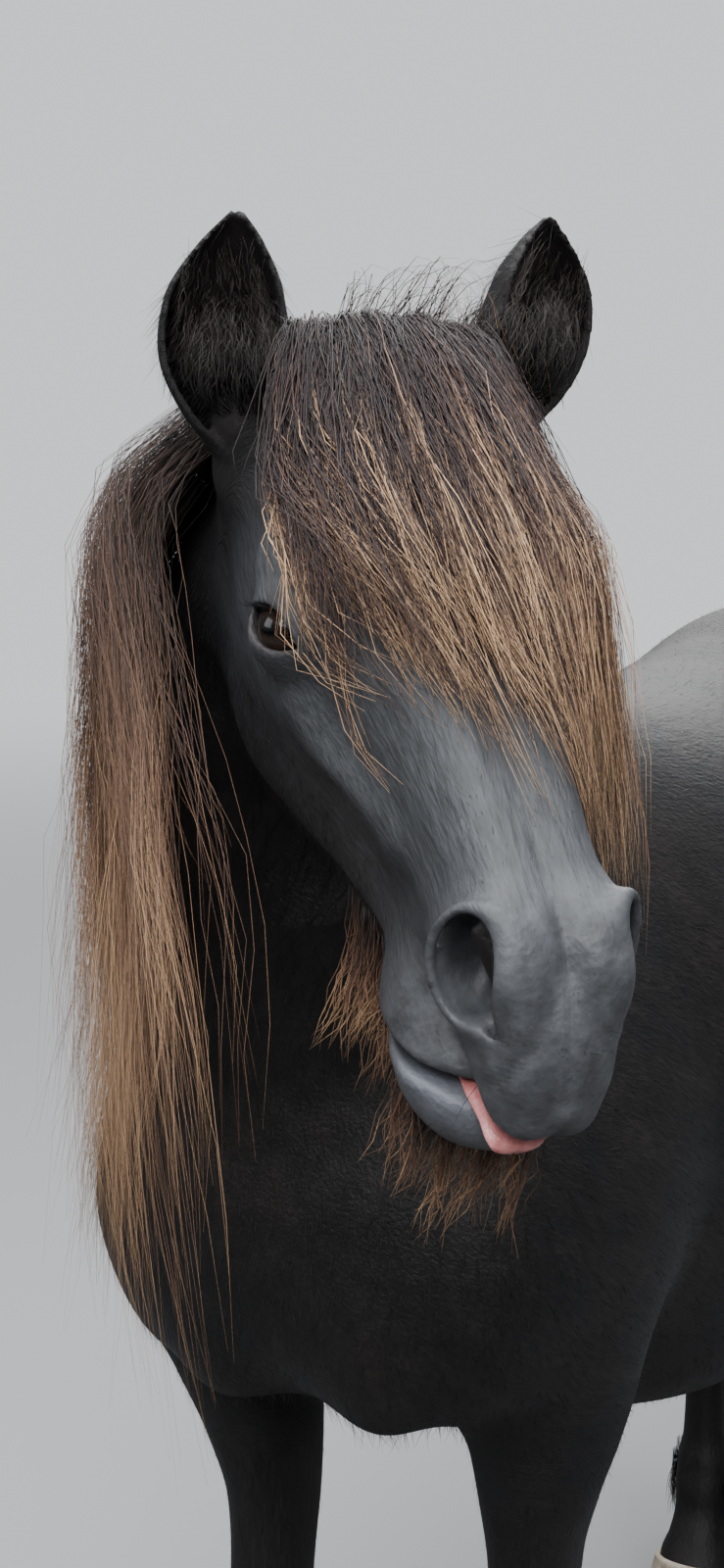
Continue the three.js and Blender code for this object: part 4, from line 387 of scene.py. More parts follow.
# Ear: a cupped leaf about a leaning axis, in the same half-head frame
EAR_BASE = {1: np.array([76.0, 7.0, -23.0]), -1: np.array([60.0, 13.0, -35.0])}
EAR_TIP = {1: np.array([94.0, -46.0, 66.0]), -1: np.array([74.0, -46.0, 66.0])}
EAR_BOW = -10.0
EAR_RADIUS = Profile([[0, 22], [0.15, 29], [0.4, 34], [0.65, 30], [0.86, 17], [1, 3]])
EAR_OPENING = Profile([[0, 0.5], [0.15, 0.95], [0.4, 1.25], [0.7, 1.35], [1, 1.4]])
EAR_WALL = Profile([[0, 7], [0.3, 5.4], [0.8, 4.4], [1, 4.0]])
EAR_OPEN = np.array([0.30, 0.66, 0.69])
EAR_FLAT = 0.82


def ear_frame(side):
    """Length, axis, direction of the opening and cross direction of one ear."""
    axis = EAR_TIP[side] - EAR_BASE[side]
    length = np.linalg.norm(axis)
    axis = axis / length
    opening = unit(EAR_OPEN - axis * (EAR_OPEN @ axis))
    return length, axis, opening, np.cross(axis, opening)


def ear_coordinates(x, u, w):
    """Share of the length, radius and angle from the opening, for the ear on the point's side."""
    frames = [ear_frame(side) for side in (1, -1)]
    left = x > 0
    length = np.where(left, frames[0][0], frames[1][0])
    d = [v - np.where(left, a, b) for v, a, b in zip((np.abs(x), u, w), EAR_BASE[1], EAR_BASE[-1])]

    def along(k):
        return sum(v * np.where(left, a, b) for v, a, b in zip(d, frames[0][k], frames[1][k]))

    s = along(1) / length
    sc = np.clip(s, 0, 1)
    a_open = along(2) / EAR_FLAT
    a_side = along(3) - EAR_BOW * np.sin(sc * math.pi)
    return s, np.hypot(a_open, a_side), np.abs(np.arctan2(a_side, a_open)), length


def ear_field(x, u, w):
    s, rr, angle, length = ear_coordinates(x, u, w)
    sc = np.clip(s, 0, 1)
    r = EAR_RADIUS.at(sc, 0)
    half = EAR_OPENING.at(sc, 0)
    share = np.clip((angle - half) / (math.pi - half), 0, 1)
    thin = EAR_WALL.at(sc, 0) * (0.72 + 0.28 * np.sin(share * math.pi / 2))
    f = np.abs(rr - r + thin / 2) - thin / 2
    f = smooth_max(f, (half - angle) * rr, 2.0)
    over = np.maximum(-s, s - 1) * length
    return np.maximum(f, over)


def head_field(x, u, w):
    """Head without ears, with the eye openings, nostrils and mouth cut in."""
    ax = np.abs(x)
    f = along_u(FACE, ax, u, w, FACE.at(u, 3))
    f = smooth_min(f, along_u(JAW, ax, u, w, 2.3), 16)
    f = smooth_min(f, ellipsoid(ax, u, w, [34, 96, -122], [30, 62, 58]), 22)
    f = smooth_min(f, ellipsoid(ax, u, w, [59, 122, -24], [24, 38, 20]), 18)
    f = smooth_min(f, capsule(ax, u, w, [60, 160, -64], [40, 250, -62], 8, 6), 24)
    f = smooth_min(f, capsule(ax, u, w, [24, 150, -10], [15, 330, -22], 12, 10), 20)
    f = smooth_max(f, -ellipsoid(ax, u, w, [62, 84, -2], [12, 18, 10]), 16)
    f = smooth_max(f, -ellipsoid(ax, u, w, [62, 262, -84], [16, 60, 22]), 24)
    stem = np.where(x > 0, capsule(ax, u, w, [54, 18, -46], [75, 6, -14], 24, 22),
                    capsule(ax, u, w, [54, 18, -46], [60, 8, -24], 24, 22))
    f = smooth_min(f, stem, 24)
    ea, eb, ec = coordinates(ax, u, w, EYE_CENTRE, (EYE_LONG, EYE_UP, EYE_AXIS))
    ball = np.sqrt(ea * ea + eb * eb + ec * ec)
    near = ball < 60
    if near.any():
        g, a, b, c = f[near], ea[near], eb[near], ec[near]
        g = smooth_min(g, ball[near] - (EYE_RADIUS + LID), 9)
        fold = np.hypot(np.hypot(a * 0.8, b - 17) - 1, c - 17) - 3.5
        g = smooth_min(g, fold, 7)
        reach = 1 - np.clip(np.abs(a) / EYE_HALF_LENGTH, 0, 1) ** 2
        height = np.where(b > 0, EYE_OPEN_UP, EYE_OPEN_DOWN) * reach
        gap = np.maximum(np.maximum(np.abs(b) - height, np.abs(a) - EYE_HALF_LENGTH), 6 - c)
        f[near] = smooth_max(g, -gap, 2.5)
    f = smooth_min(f, ellipsoid(ax, u, w, [22, 330, -35], [22, 36, 32]), 14)
    na, nb, nc = coordinates(ax, u, w, NOSTRIL_CENTRE, (NOSTRIL_LONG, NOSTRIL_SHORT, NOSTRIL_AXIS))
    near = na * na + nb * nb + nc * nc < 70 * 70
    if near.any():
        g, a, b, c = f[near], na[near], nb[near], nc[near]
        rim = np.hypot(np.hypot(a / 1.25, b) - 21, c - 10) - 4.6
        g = smooth_min(g, rim, 8)
        hollow = ellipsoid(a, b, c, [0, -3, 12], [24, 15, 26])
        tail = capsule(a, b, c, [12, 4, 17], [26, 16, 15], 7, 3)
        g = smooth_max(g, -smooth_min(hollow, tail, 6), 5)
        f[near] = smooth_min(g, capsule(a, b, c, [-16, 1, 7], [15, 19, 9], 6, 8), 6)
    f = smooth_min(f, ellipsoid(ax, u, w, [0, 367, -70], [29, 31, 24]), 12)
    f = smooth_min(f, ellipsoid(ax, u, w, [10, 380, -80], [16, 17, 13]), 10)
    f = smooth_min(f, ellipsoid(ax, u, w, [0, 334, -136], [36, 36, 29]), 12)
    f = smooth_min(f, ellipsoid(ax, u, w, [0, 356, -114], [33, 22, 18]), 8)
    inset = smoothstep(284, 330, u)
    slot = np.maximum(np.abs(w - mouth_line(u)) - 1.2 - 1.6 * inset, 287 - u)
    reach_in = 30 - 16 * inset - ax
    return smooth_max(f, -np.maximum(slot, reach_in * (1 - smoothstep(340, 360, u))), 4)


def body_field(x, y, z):
    """Trunk, neck, legs and dock as one form."""
    f = trunk_field(x, y, z)
    ax = np.abs(x)
    m = (z > 600) & (y < -60)
    if m.any():
        nx, ny = straightened(x[m], y[m], z[m])
        f[m] = smooth_min(f[m], neck_neutral(nx, ny, z[m]), 55)
    for side in (1, -1):
        m = (y < -150) & (z < 900) & ((x > 0) if side > 0 else (x <= 0))
        if m.any():
            a, b, c, g = ax[m], y[m], z[m], f[m]
            g = smooth_min(g, fore_leg(x[m], b, c, side), 42)
            g = smooth_min(g, ellipsoid(a, b, c, [101, -438, 660], [50, 60, 108]), 50)
            g = smooth_min(g, ellipsoid(a, b, c, [54, -458, 640], [50, 56, 104]), 34)
            f[m] = smooth_min(g, ellipsoid(a, b, c, [108, -297, 568], [24, 31, 37]), 30)
        m = (y > 150) & (z < 980) & ((x > 0) if side > 0 else (x <= 0))
        if m.any():
            a, b, c, g = ax[m], y[m], z[m], f[m]
            g = smooth_min(g, hind_leg(x[m], b, c, side), 42)
            g = smooth_min(g, capsule(x[m], b, c, *DOCK), 40)
            g = smooth_min(g, capsule(x[m], b, c, *DOCK_END), 12)
            g = smooth_min(g, ellipsoid(a, b, c, [118, 272, 590], [36, 46, 56]), 44)
            f[m] = smooth_max(g, -capsule(x[m], b, c, [0, 560, 800], [0, 500, 560], 9, 16), 26)
    return f


def whole_field(x, y, z, ears=True):
    f = body_field(x, y, z)
    m = (z > 760) & (y < -380)
    if m.any():
        p = to_head(np.stack([x[m], y[m], z[m]], -1))
        g = f[m]
        near = (np.abs(p[:, 0]) < 150) & (p[:, 1] > -110) & (p[:, 1] < 470) \
            & (p[:, 2] > -250) & (p[:, 2] < 130)
        q = p[near]
        h = smooth_min(g[near], head_field(q[:, 0], q[:, 1], q[:, 2]), 22)
        if ears:
            h = smooth_min(h, ear_field(q[:, 0], q[:, 1], q[:, 2]), 6)
        g[near] = h
        f[m] = g
    return f


def coat_depth(x, y, z):
    """How far the skin lies under the outline of the coat."""
    face = smoothstep(-420, -520, y) * smoothstep(900, 1000, z)
    ears = smoothstep(1130, 1180, z)
    return (1.6 - 0.9 * face) * (1 - ears) + 0.15 * ears


GRADIENT_STEP = 0.8


def skin_field(p):
    return whole_field(p[:, 0], p[:, 1], p[:, 2]) + coat_depth(p[:, 0], p[:, 1], p[:, 2])


def gradient(field, p):
    f0 = field(p)
    steps = np.eye(3) * GRADIENT_STEP
    g = np.stack([field(p + step) - f0 for step in steps], -1) / GRADIENT_STEP
    return f0, g


# Surface of the skin on a grid that is finer about the head
HEAD_LOW = np.array([-110.0, -790.0, 800.0])
HEAD_HIGH = np.array([345.0, -400.0, 1290.0])
BODY_LOW = np.array([-240.0, -790.0, 20.0])
BODY_HIGH = np.array([345.0, 660.0, 1290.0])
FINE, PLAIN = ((2.4, 6.2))
BLOCK = 4
BATCH = 400000


def axis_points(low, high, fine_low, fine_high):
    points = [low]
    while points[-1] < high:
        v = points[-1]
        away = max(fine_low - v, v - fine_high, 0)
        points.append(v + FINE + (PLAIN - FINE) * min(1, away / 60))
    while (len(points) - 1) % BLOCK:
        points.append(points[-1] + PLAIN)
    return np.array(points)


def make_surface():
    """Quads where the skin's field is zero, with their points moved onto it."""
    axes = [axis_points(BODY_LOW[i], BODY_HIGH[i], HEAD_LOW[i], HEAD_HIGH[i]) for i in range(3)]
    n = [len(a) for a in axes]
    blocks = [(k - 1) // BLOCK for k in n]
    mids = [(a[:-1:BLOCK] + a[BLOCK::BLOCK]) / 2 for a in axes]
    spans = [(a[BLOCK::BLOCK] - a[:-1:BLOCK]) / 2 for a in axes]
    grid = np.stack(np.meshgrid(*mids, indexing="ij"), -1).reshape(-1, 3)
    span = np.stack(np.meshgrid(*spans, indexing="ij"), -1).reshape(-1, 3)
    reach = np.linalg.norm(span, axis=1)
    centre = skin_field(grid)
    value = np.where(centre.reshape(blocks) < 0, -PLAIN, PLAIN).astype(np.float32)
    dense = np.repeat(np.repeat(np.repeat(value, BLOCK, 0), BLOCK, 1), BLOCK, 2)
    dense = np.pad(dense, ((0, 1), (0, 1), (0, 1)), constant_values=PLAIN)
    chosen = np.argwhere((np.abs(centre) < reach * 1.5 + 6).reshape(blocks))
    offsets = np.stack(np.meshgrid(*[np.arange(BLOCK)] * 3, indexing="ij"), -1).reshape(-1, 3)
    index = (chosen[:, None, :] * BLOCK + offsets[None]).reshape(-1, 3)
    for start in range(0, len(index), BATCH):
        part = index[start:start + BATCH]
        p = np.stack([axes[i][part[:, i]] for i in range(3)], -1)
        dense[part[:, 0], part[:, 1], part[:, 2]] = skin_field(p)
    volume = vdb.FloatGrid(PLAIN)
    volume.copyFromArray(dense)
    points, quads = volume.convertToQuads(0.0)
    points = np.stack([np.interp(points[:, i], np.arange(n[i]), axes[i]) for i in range(3)], -1)
    for _ in range(2):
        f, g = gradient(skin_field, points)
        g2 = np.maximum((g * g).sum(1), 0.25)
        move = np.clip(f / g2, -2.5, 2.5)
        points = points - g * move[:, None]
    return points, np.asarray(quads, int)


def mesh_object(name, points, faces, attributes=None, uv=None):
    """A mesh object from points in millimetres and faces of one size."""
    mesh = bpy.data.meshes.new(name)
    count, size = faces.shape
    mesh.vertices.add(len(points))
    mesh.vertices.foreach_set("co", ((points - CENTRE) * 0.001).astype(np.float32).ravel())
    mesh.loops.add(count * size)
    mesh.loops.foreach_set("vertex_index", faces.astype(np.int32).ravel())
    mesh.polygons.add(count)
    mesh.polygons.foreach_set("loop_start", np.arange(0, count * size, size, dtype=np.int32))
    mesh.polygons.foreach_set("loop_total", np.full(count, size, dtype=np.int32))
    mesh.update(calc_edges=True)
    mesh.polygons.foreach_set("use_smooth", np.ones(count, dtype=bool))
    for key, values in (attributes or {}).items():
        kind = "FLOAT_VECTOR" if values.ndim == 2 else "FLOAT"
        layer = mesh.attributes.new(key, kind, "POINT")
        layer.data.foreach_set("vector" if values.ndim == 2 else "value",
                               values.astype(np.float32).ravel())
    if uv is not None:
        layer = mesh.uv_layers.new(name="OFBake")
        layer.data.foreach_set("uv", uv[faces.ravel()].astype(np.float32).ravel())
    mesh.validate()
    obj = bpy.data.objects.new(name, mesh)
    bpy.context.scene.collection.objects.link(obj)
    return obj


def finished(obj, material, slot, *solids):
    """Gives a piece its material and body, and hides the solids that it replaces. The slot is not used."""
    obj.data.materials.append(material)
    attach(obj, "root")
    if solids:
        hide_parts(*solids)
    return obj


def ring_quads(rings, columns):
    """Quads between rings that each hold the same number of points."""
    r, c = np.divmod(np.arange((rings - 1) * columns), columns)
    low, high = r * columns, (r + 1) * columns
    d = (c + 1) % columns
    return np.stack([low + c, low + d, high + d, high + c], 1)


def closed_tube(rings):
    """Points and triangles of a tube through rings, with a fan over each end."""
    count, columns = len(rings), len(rings[0])
    points = np.concatenate([*rings, rings[0].mean(0)[None], rings[-1].mean(0)[None]])
    quads = ring_quads(count, columns)
    c = np.arange(columns)
    d = (c + 1) % columns
    last = (count - 1) * columns
    low = np.stack([np.full(columns, count * columns), d, c], 1)
    high = np.stack([np.full(columns, count * columns + 1), last + c, last + d], 1)
    return points, np.concatenate([quads[:, [0, 1, 2]], quads[:, [0, 2, 3]], low, high])


def outward(points, faces):
    """Faces turned so that the mesh encloses a positive volume."""
    a, b, c = points[faces[:, 0]], points[faces[:, 1]], points[faces[:, 2]]
    volume = np.einsum("ij,ij->i", a, np.cross(b, c)).sum()
    if faces.shape[1] == 4:
        d = points[faces[:, 3]]
        volume += np.einsum("ij,ij->i", a, np.cross(c, d)).sum()
    return faces if volume > 0 else faces[:, ::-1]


# Materials
class Nodes:
    """Short ways to add nodes to a tree. Each gives back one output of the node that it adds."""

    def __init__(self, tree):
        self.nodes, self.links = tree.nodes, tree.links

    def feed(self, socket, value):
        if isinstance(value, bpy.types.NodeSocket):
            self.links.new(value, socket)
        elif socket.type == "RGBA":
            socket.default_value = (*value, 1)
        else:
            socket.default_value = value

    def add(self, kind, inputs, output=0, **settings):
        node = self.nodes.new("ShaderNode" + kind)
        for key, value in settings.items():
            setattr(node, key, value)
        for key, value in inputs.items():
            self.feed(node.inputs[key], value)
        return node.outputs[output]

    def place(self):
        return self.add("TexCoord", {}, "Object")

    def attribute(self, name, output="Fac"):
        return self.add("Attribute", {}, output, attribute_name=name)

    def noise(self, vector, scale, detail=4.0, roughness=0.6):
        return self.add("TexNoise", {"Scale": scale, "Detail": detail, "Roughness": roughness,
                                     "Vector": vector}, "Fac")

    def cells(self, vector, scale):
        return self.add("TexVoronoi", {"Scale": scale, "Vector": vector}, "Distance")

    def stretched(self, vector, scale):
        return self.add("Mapping", {"Scale": scale, "Vector": vector}, "Vector")

    def ramp(self, value, stops):
        node = self.nodes.new("ShaderNodeValToRGB")
        while len(node.color_ramp.elements) < len(stops):
            node.color_ramp.elements.new(0.5)
        for element, (at, color) in zip(node.color_ramp.elements, stops):
            element.position = at
            element.color = (*color, 1)
        self.links.new(value, node.inputs["Fac"])
        return node.outputs["Color"]

    def mix(self, factor, a, b):
        return self.add("Mix", {0: factor, 6: a, 7: b}, 2, data_type="RGBA")

    def math(self, operation, a, b=0.0, clamp=False):
        return self.add("Math", {0: a, 1: b}, operation=operation, use_clamp=clamp)

    def mean(self, a, b):
        return self.math("ADD", self.math("MULTIPLY", a, 0.5), self.math("MULTIPLY", b, 0.5))

    def bump(self, height, strength, distance, normal=None):
        inputs = {"Strength": strength, "Distance": distance, "Height": height}
        if normal is not None:
            inputs["Normal"] = normal
        return self.add("Bump", inputs, "Normal")


class Look(Nodes):
    """A material whose values and links go straight to its Principled shader."""

    def __init__(self, name):
        self.material = bpy.data.materials.new(name)
        self.material.use_nodes = True
        super().__init__(self.material.node_tree)
        self.shader = self.nodes["Principled BSDF"]

    def set(self, inputs):
        for key, value in inputs.items():
            self.feed(self.shader.inputs[key], value)
        return self.material


def coat_material():
    """Near-black coat with a brown cast, a face greyed by a painted sky sheen, bare muzzle, lips, lids with
    a painted reflection on the lower rim, nostrils darkened by painted shade, and ear lining.
    """
    look = Look("coat")
    place = look.place()
    lie = look.attribute("lie", "Vector")
    tone = look.mean(look.noise(lie, 420.0, 3.0), look.noise(lie, 60.0))
    dark = look.ramp(tone, [(0.30, (0.0020, 0.0020, 0.0024)), (0.52, (0.0055, 0.0052, 0.0056)),
                            (0.72, (0.015, 0.0135, 0.0130))])
    brown = look.ramp(tone, [(0.3, (0.0035, 0.0027, 0.0024)), (0.7, (0.019, 0.0135, 0.0105))])
    patches = look.ramp(look.noise(place, 9.0, 4.0, 0.55), [(0.42, (0, 0, 0)), (0.66, (0.6, 0.6, 0.6))])
    base = look.mix(patches, dark, brown)
    # Painted sheen: the face's coat is mixed towards a bluish grey that stands in for sky light on the
    # bridge and cheeks.
    painted_sheen = look.ramp(tone, [(0.30, (0.013, 0.0138, 0.0153)), (0.70, (0.060, 0.0628, 0.068))])
    base = look.mix(look.attribute("face"), base, painted_sheen)
    muzzle, lip, rim = (look.attribute(name) for name in ("muzzle", "lip", "rim"))
    skin = look.ramp(look.noise(place, 70.0, 5.0),
                     [(0.35, (0.036, 0.0371, 0.0405)), (0.65, (0.075, 0.0775, 0.085))])
    # rim: lid skin with a painted reflection along the lower lid
    for share, color in ((muzzle, skin), (lip, (0.125, 0.133, 0.152)), (rim, (0.028, 0.023, 0.024)),
                         # painted shade inside the nostrils
                         (look.attribute("nostril_shade"), (0.006, 0.004, 0.004)),
                         (look.attribute("inner_ear"), (0.013, 0.0095, 0.0090))):
        base = look.mix(share, base, color)
    rough = look.math("SUBTRACT", 0.56, look.math("MULTIPLY", muzzle, 0.12))
    rough = look.math("SUBTRACT", rough, look.math("MULTIPLY", rim, 0.1))
    furry = look.math("SUBTRACT", 1.0, muzzle, clamp=True)
    normal = look.bump(look.math("MULTIPLY", tone, furry), 0.9, 0.0022)
    pores = look.math("ADD", look.math("MULTIPLY", look.cells(place, 260.0), 0.5),
                      look.noise(place, 120.0, 5.0, 0.65))
    wrinkled = look.math("MULTIPLY", pores, look.math("ADD", muzzle, lip))
    normal = look.bump(wrinkled, 0.5, 0.0010, normal)
    normal = look.bump(look.attribute("fold"), 0.5, 0.0018, normal)
    return look.set({"Base Color": base, "Roughness": rough, "Normal": normal,
                     "Specular IOR Level": 0.30, "Sheen Weight": 0.02, "Sheen Roughness": 0.45,
                     "Sheen Tint": (0.75, 0.82, 1.0)})


def hair_material(name, stops, roughness=0.42, sheen=0.02):
    """Hair coloured from root to tip by the strands' own shade."""
    look = Look(name)
    shade = look.attribute("shade")
    fine = look.math("SUBTRACT", look.noise(look.place(), 300.0, 3.0), 0.5)
    value = look.math("ADD", shade, look.math("MULTIPLY", fine, 0.16))
    return look.set({"Base Color": look.ramp(value, stops), "Roughness": roughness,
                     "Specular IOR Level": 0.32, "Sheen Weight": sheen, "Sheen Roughness": 0.4})


def eye_material():
    """Dark brown iris with fine spokes about an oval pupil, under a clear coat."""
    look = Look("eye")
    fibres = look.noise(look.attribute("spoke", "Vector"), 26.0)
    base = look.ramp(fibres, [(0.35, (0.006, 0.0030, 0.0020)), (0.68, (0.026, 0.012, 0.007))])
    base = look.mix(look.attribute("pupil"), base, (0.0012, 0.0014, 0.0022))
    base = look.mix(look.attribute("iris"), base, (0.006, 0.0045, 0.004))
    return look.set({"Base Color": base, "Roughness": 0.2, "Specular IOR Level": 0.25,
                     "Coat Weight": 0.55, "Coat Roughness": 0.02})


def horn_material(name, dark, pale):
    """Horn with upright grain and growth rings."""
    look = Look(name)
    place = look.place()
    tone = look.mean(look.noise(look.stretched(place, (1, 1, 0.12)), 240.0),
                     look.noise(look.stretched(place, (0.15, 0.15, 1)), 110.0, 3.0))
    return look.set({"Base Color": look.ramp(tone, [(0.35, dark), (0.65, pale)]), "Roughness": 0.5,
                     "Normal": look.bump(tone, 0.5, 0.0012)})


def tongue_material():
    """Wet pink flesh with small bumps."""
    look = Look("tongue")
    place = look.place()
    base = look.ramp(look.noise(place, 90.0), [(0.35, (0.42, 0.13, 0.13)), (0.65, (0.62, 0.26, 0.25))])
    return look.set({"Base Color": base, "Roughness": 0.3, "Subsurface Weight": 0.15,
                     "Subsurface Radius": (0.01, 0.003, 0.002),
                     "Normal": look.bump(look.cells(place, 900.0), 0.35, 0.0006)})


COAT = coat_material()
FLESH = ("torso", "neck", "head", "ear_left", "ear_right", "foreleg_left", "foreleg_right",
         "hindleg_left", "hindleg_right")


def coat_lie(p):
    """Unit direction in which the hair of the coat points, at points in millimetres."""
    body = np.tile(np.array([0.0, 0.86, -0.5]), (len(p), 1))
    leg = smoothstep(560, 440, p[:, 2])[:, None]
    body = body * (1 - leg) + np.array([0, 0.12, -1.0]) * leg
    chest = (smoothstep(-380, -470, p[:, 1]) * smoothstep(820, 700, p[:, 2]))[:, None]
    body = body * (1 - chest) + np.array([0, 0.05, -1.0]) * chest
    neck = (smoothstep(-330, -430, p[:, 1]) * smoothstep(760, 860, p[:, 2]))[:, None]
    back = -head_forward * 0.75 + np.array([0, 0, -0.8])
    body = body * (1 - neck) + back * neck
    q = to_head(p)
    on_head = (smoothstep(-30, 30, q[:, 1]) * smoothstep(-260, -170, q[:, 2])
               * smoothstep(150, 110, np.abs(q[:, 0])))[:, None]
    side = np.sign(q[:, 0])[:, None] * HEAD_X * 0.25
    cheek = smoothstep(-60, -130, q[:, 2])[:, None]
    face = HEAD_U * 1.0 + side
    jaw = HEAD_U * 0.15 + np.array([0, 0, -0.9]) - head_forward * 0.35
    lie = body * (1 - on_head) + (face * (1 - cheek) + jaw * cheek) * on_head
    return unit(lie)


def lie_coordinates(p):
    """Coordinates in metres, drawn out along the lie of the coat."""
    q = to_head(p)
    on_head = (smoothstep(-30, 40, q[:, 1]) * smoothstep(-250, -190, q[:, 2])
               * smoothstep(150, 110, np.abs(q[:, 0])))[:, None]
    leg = smoothstep(560, 440, p[:, 2])[:, None]
    axis = np.array([0.0, 0.86, -0.5])
    stretched = p - np.outer(p @ unit(axis), unit(axis)) * 0.86
    down = p * np.array([1, 1, 0.14])
    head = np.stack([q[:, 0], q[:, 1] * 0.14, q[:, 2]], -1)
    body = stretched * (1 - leg) + down * leg
    return (body * (1 - on_head) + head * on_head) * 0.001


def face_sheen_share(q):
    """How far points in head coordinates take a painted sky sheen that greys the face, strongest on its
    front.
    """
    on_head = smoothstep(20, 110, q[:, 1]) * smoothstep(-230, -170, q[:, 2])
    return on_head * smoothstep(150, 110, np.abs(q[:, 0])) * (0.45 + 0.55 * smoothstep(-110, -40, q[:, 2]))


# One skin for all the flesh
skin_points, skin_faces = make_surface()
skin_faces = outward(skin_points, skin_faces)
head_points = to_head(skin_points)
hx, hu, hw = np.abs(head_points[:, 0]), head_points[:, 1], head_points[:, 2]
in_head = (hx < 125) & (hu > -40) & (hw > -200)
ea, eb, ec = coordinates(hx, hu, hw, EYE_CENTRE, (EYE_LONG, EYE_UP, EYE_AXIS))
na, nb, nc = coordinates(hx, hu, hw, NOSTRIL_CENTRE, (NOSTRIL_LONG, NOSTRIL_SHORT, NOSTRIL_AXIS))
ball = np.sqrt(ea ** 2 + eb ** 2 + ec ** 2)
reach = 1 - np.clip(np.abs(ea) / (EYE_HALF_LENGTH + 1), 0, 1) ** 2
edge = np.abs(np.where(eb > 0, eb - EYE_OPEN_UP * reach, -eb - EYE_OPEN_DOWN * reach))
# The lid rim is partly bare lid skin and partly a painted reflection: it is paler than the coat, at full
# strength on the lower lid and a quarter of it on the upper.
rim = np.where(in_head & (ball < 27) & (ec > 4), np.clip(1.25 - edge / 3.0, 0, 1), 0)
rim *= np.where(eb > 0, 0.25, 1.0) * smoothstep(26.5, 23.5, ball)
muzzle = np.where(in_head, smoothstep(268, 335, hu - 0.25 * (hw + 60)), 0)
chin = np.where(in_head & (hw < mouth_line(hu)), smoothstep(300, 350, hu), 0)
lip = np.where(in_head, smoothstep(318, 345, hu) * smoothstep(11, 3, np.abs(hw - mouth_line(hu) + 5)), 0)
lip = np.maximum(lip, 0.75 * chin * smoothstep(-135, -105, hw))
hollow = ellipsoid(na, nb, nc, [0, -3, 12], [24, 15, 26])
# Painted shade: the nostrils grow darker deeper into their hollows.
nostril_shade = np.where(in_head & (hu > 290) & (hu < 375),
                smoothstep(1.0, -3.0, hollow) * smoothstep(24, 14, nc), 0)
es, er, _, _ = ear_coordinates(head_points[:, 0], hu, hw)
inner_ear = np.where((es > 0.05) & (es < 1.02) & (hu < 60),
                     smoothstep(-1.5, -3.0, er - EAR_RADIUS.at(np.clip(es, 0, 1), 0)), 0)
ringed = np.sqrt((na / 27) ** 2 + (nb / 19) ** 2)
fold = np.sin(ringed * 8.5) * np.exp(-((ringed - 1.75) / 0.45) ** 2) * smoothstep(-30, -8, nc)
fold += 1.2 * np.exp(-(hx / 3.0) ** 2) * smoothstep(335, 362, hu) * -1.0
fold = np.where(in_head & (hu > 270), fold * smoothstep(275, 315, hu), 0)
# The face attribute carries the painted sky sheen of the face.
skin = mesh_object("skin", skin_points, skin_faces, attributes={
    "face": face_sheen_share(head_points), "fold": fold,
    "lie": lie_coordinates(skin_points), "muzzle": np.maximum(muzzle * 0.85, chin), "lip": lip,
    "rim": rim, "nostril_shade": nostril_shade, "inner_ear": inner_ear})
finished(skin, COAT, "coat", *FLESH)


# Eyes
def eye_object(side):
    rows, columns = 48, 72
    mirror = np.array([side, 1, 1])
    across, lengthwise, up, centre = (v * mirror for v in (EYE_AXIS, EYE_LONG, EYE_UP, EYE_CENTRE))
    points, iris, pupil, spoke = [], [], [], []
    for r in range(rows + 1):
        polar = math.pi * r / rows
        cornea = 1.0 + 0.055 * float(smoothstep(0.62, 0.1, polar))
        for c in range(columns):
            turn = 2 * math.pi * c / columns
            a, b = math.cos(turn) * math.sin(polar), math.sin(turn) * math.sin(polar)
            local = (lengthwise * a + up * b + across * math.cos(polar)) * (EYE_RADIUS - 0.4) * cornea
            points.append(from_head(centre + local))
            iris.append(smoothstep(0.60, 0.68, polar))
            oval = math.hypot(a / 0.30, b / 0.17)
            pupil.append(float(smoothstep(1.08, 0.92, oval)) if polar < 1.5 else 0.0)
            spoke.append((math.cos(turn) * 0.5, math.sin(turn) * 0.5, polar * 0.05))
    points = np.array(points)
    eye = "eye_" + SIDE_WORDS[side]
    obj = mesh_object(eye + "_ball", points, outward(points, ring_quads(rows + 1, columns)),
                      attributes={"iris": np.array(iris, float), "pupil": np.array(pupil),
                                  "spoke": np.array(spoke)})
    finished(obj, EYE, "eye", eye)


EYE = eye_material()
for eye_side in SIDE_WORDS:
    eye_object(eye_side)


# Hooves
HOOVES = {
    "fore": dict(y=-362, slope=0.26, height=54, depth=47, width=43, toe=-13),
    "hind": dict(y=370, slope=0.26, height=53, depth=46, width=41, toe=-12)}
HOOF_RING_DEPTH, HOOF_RING_WIDTH = 39.5, 38.0


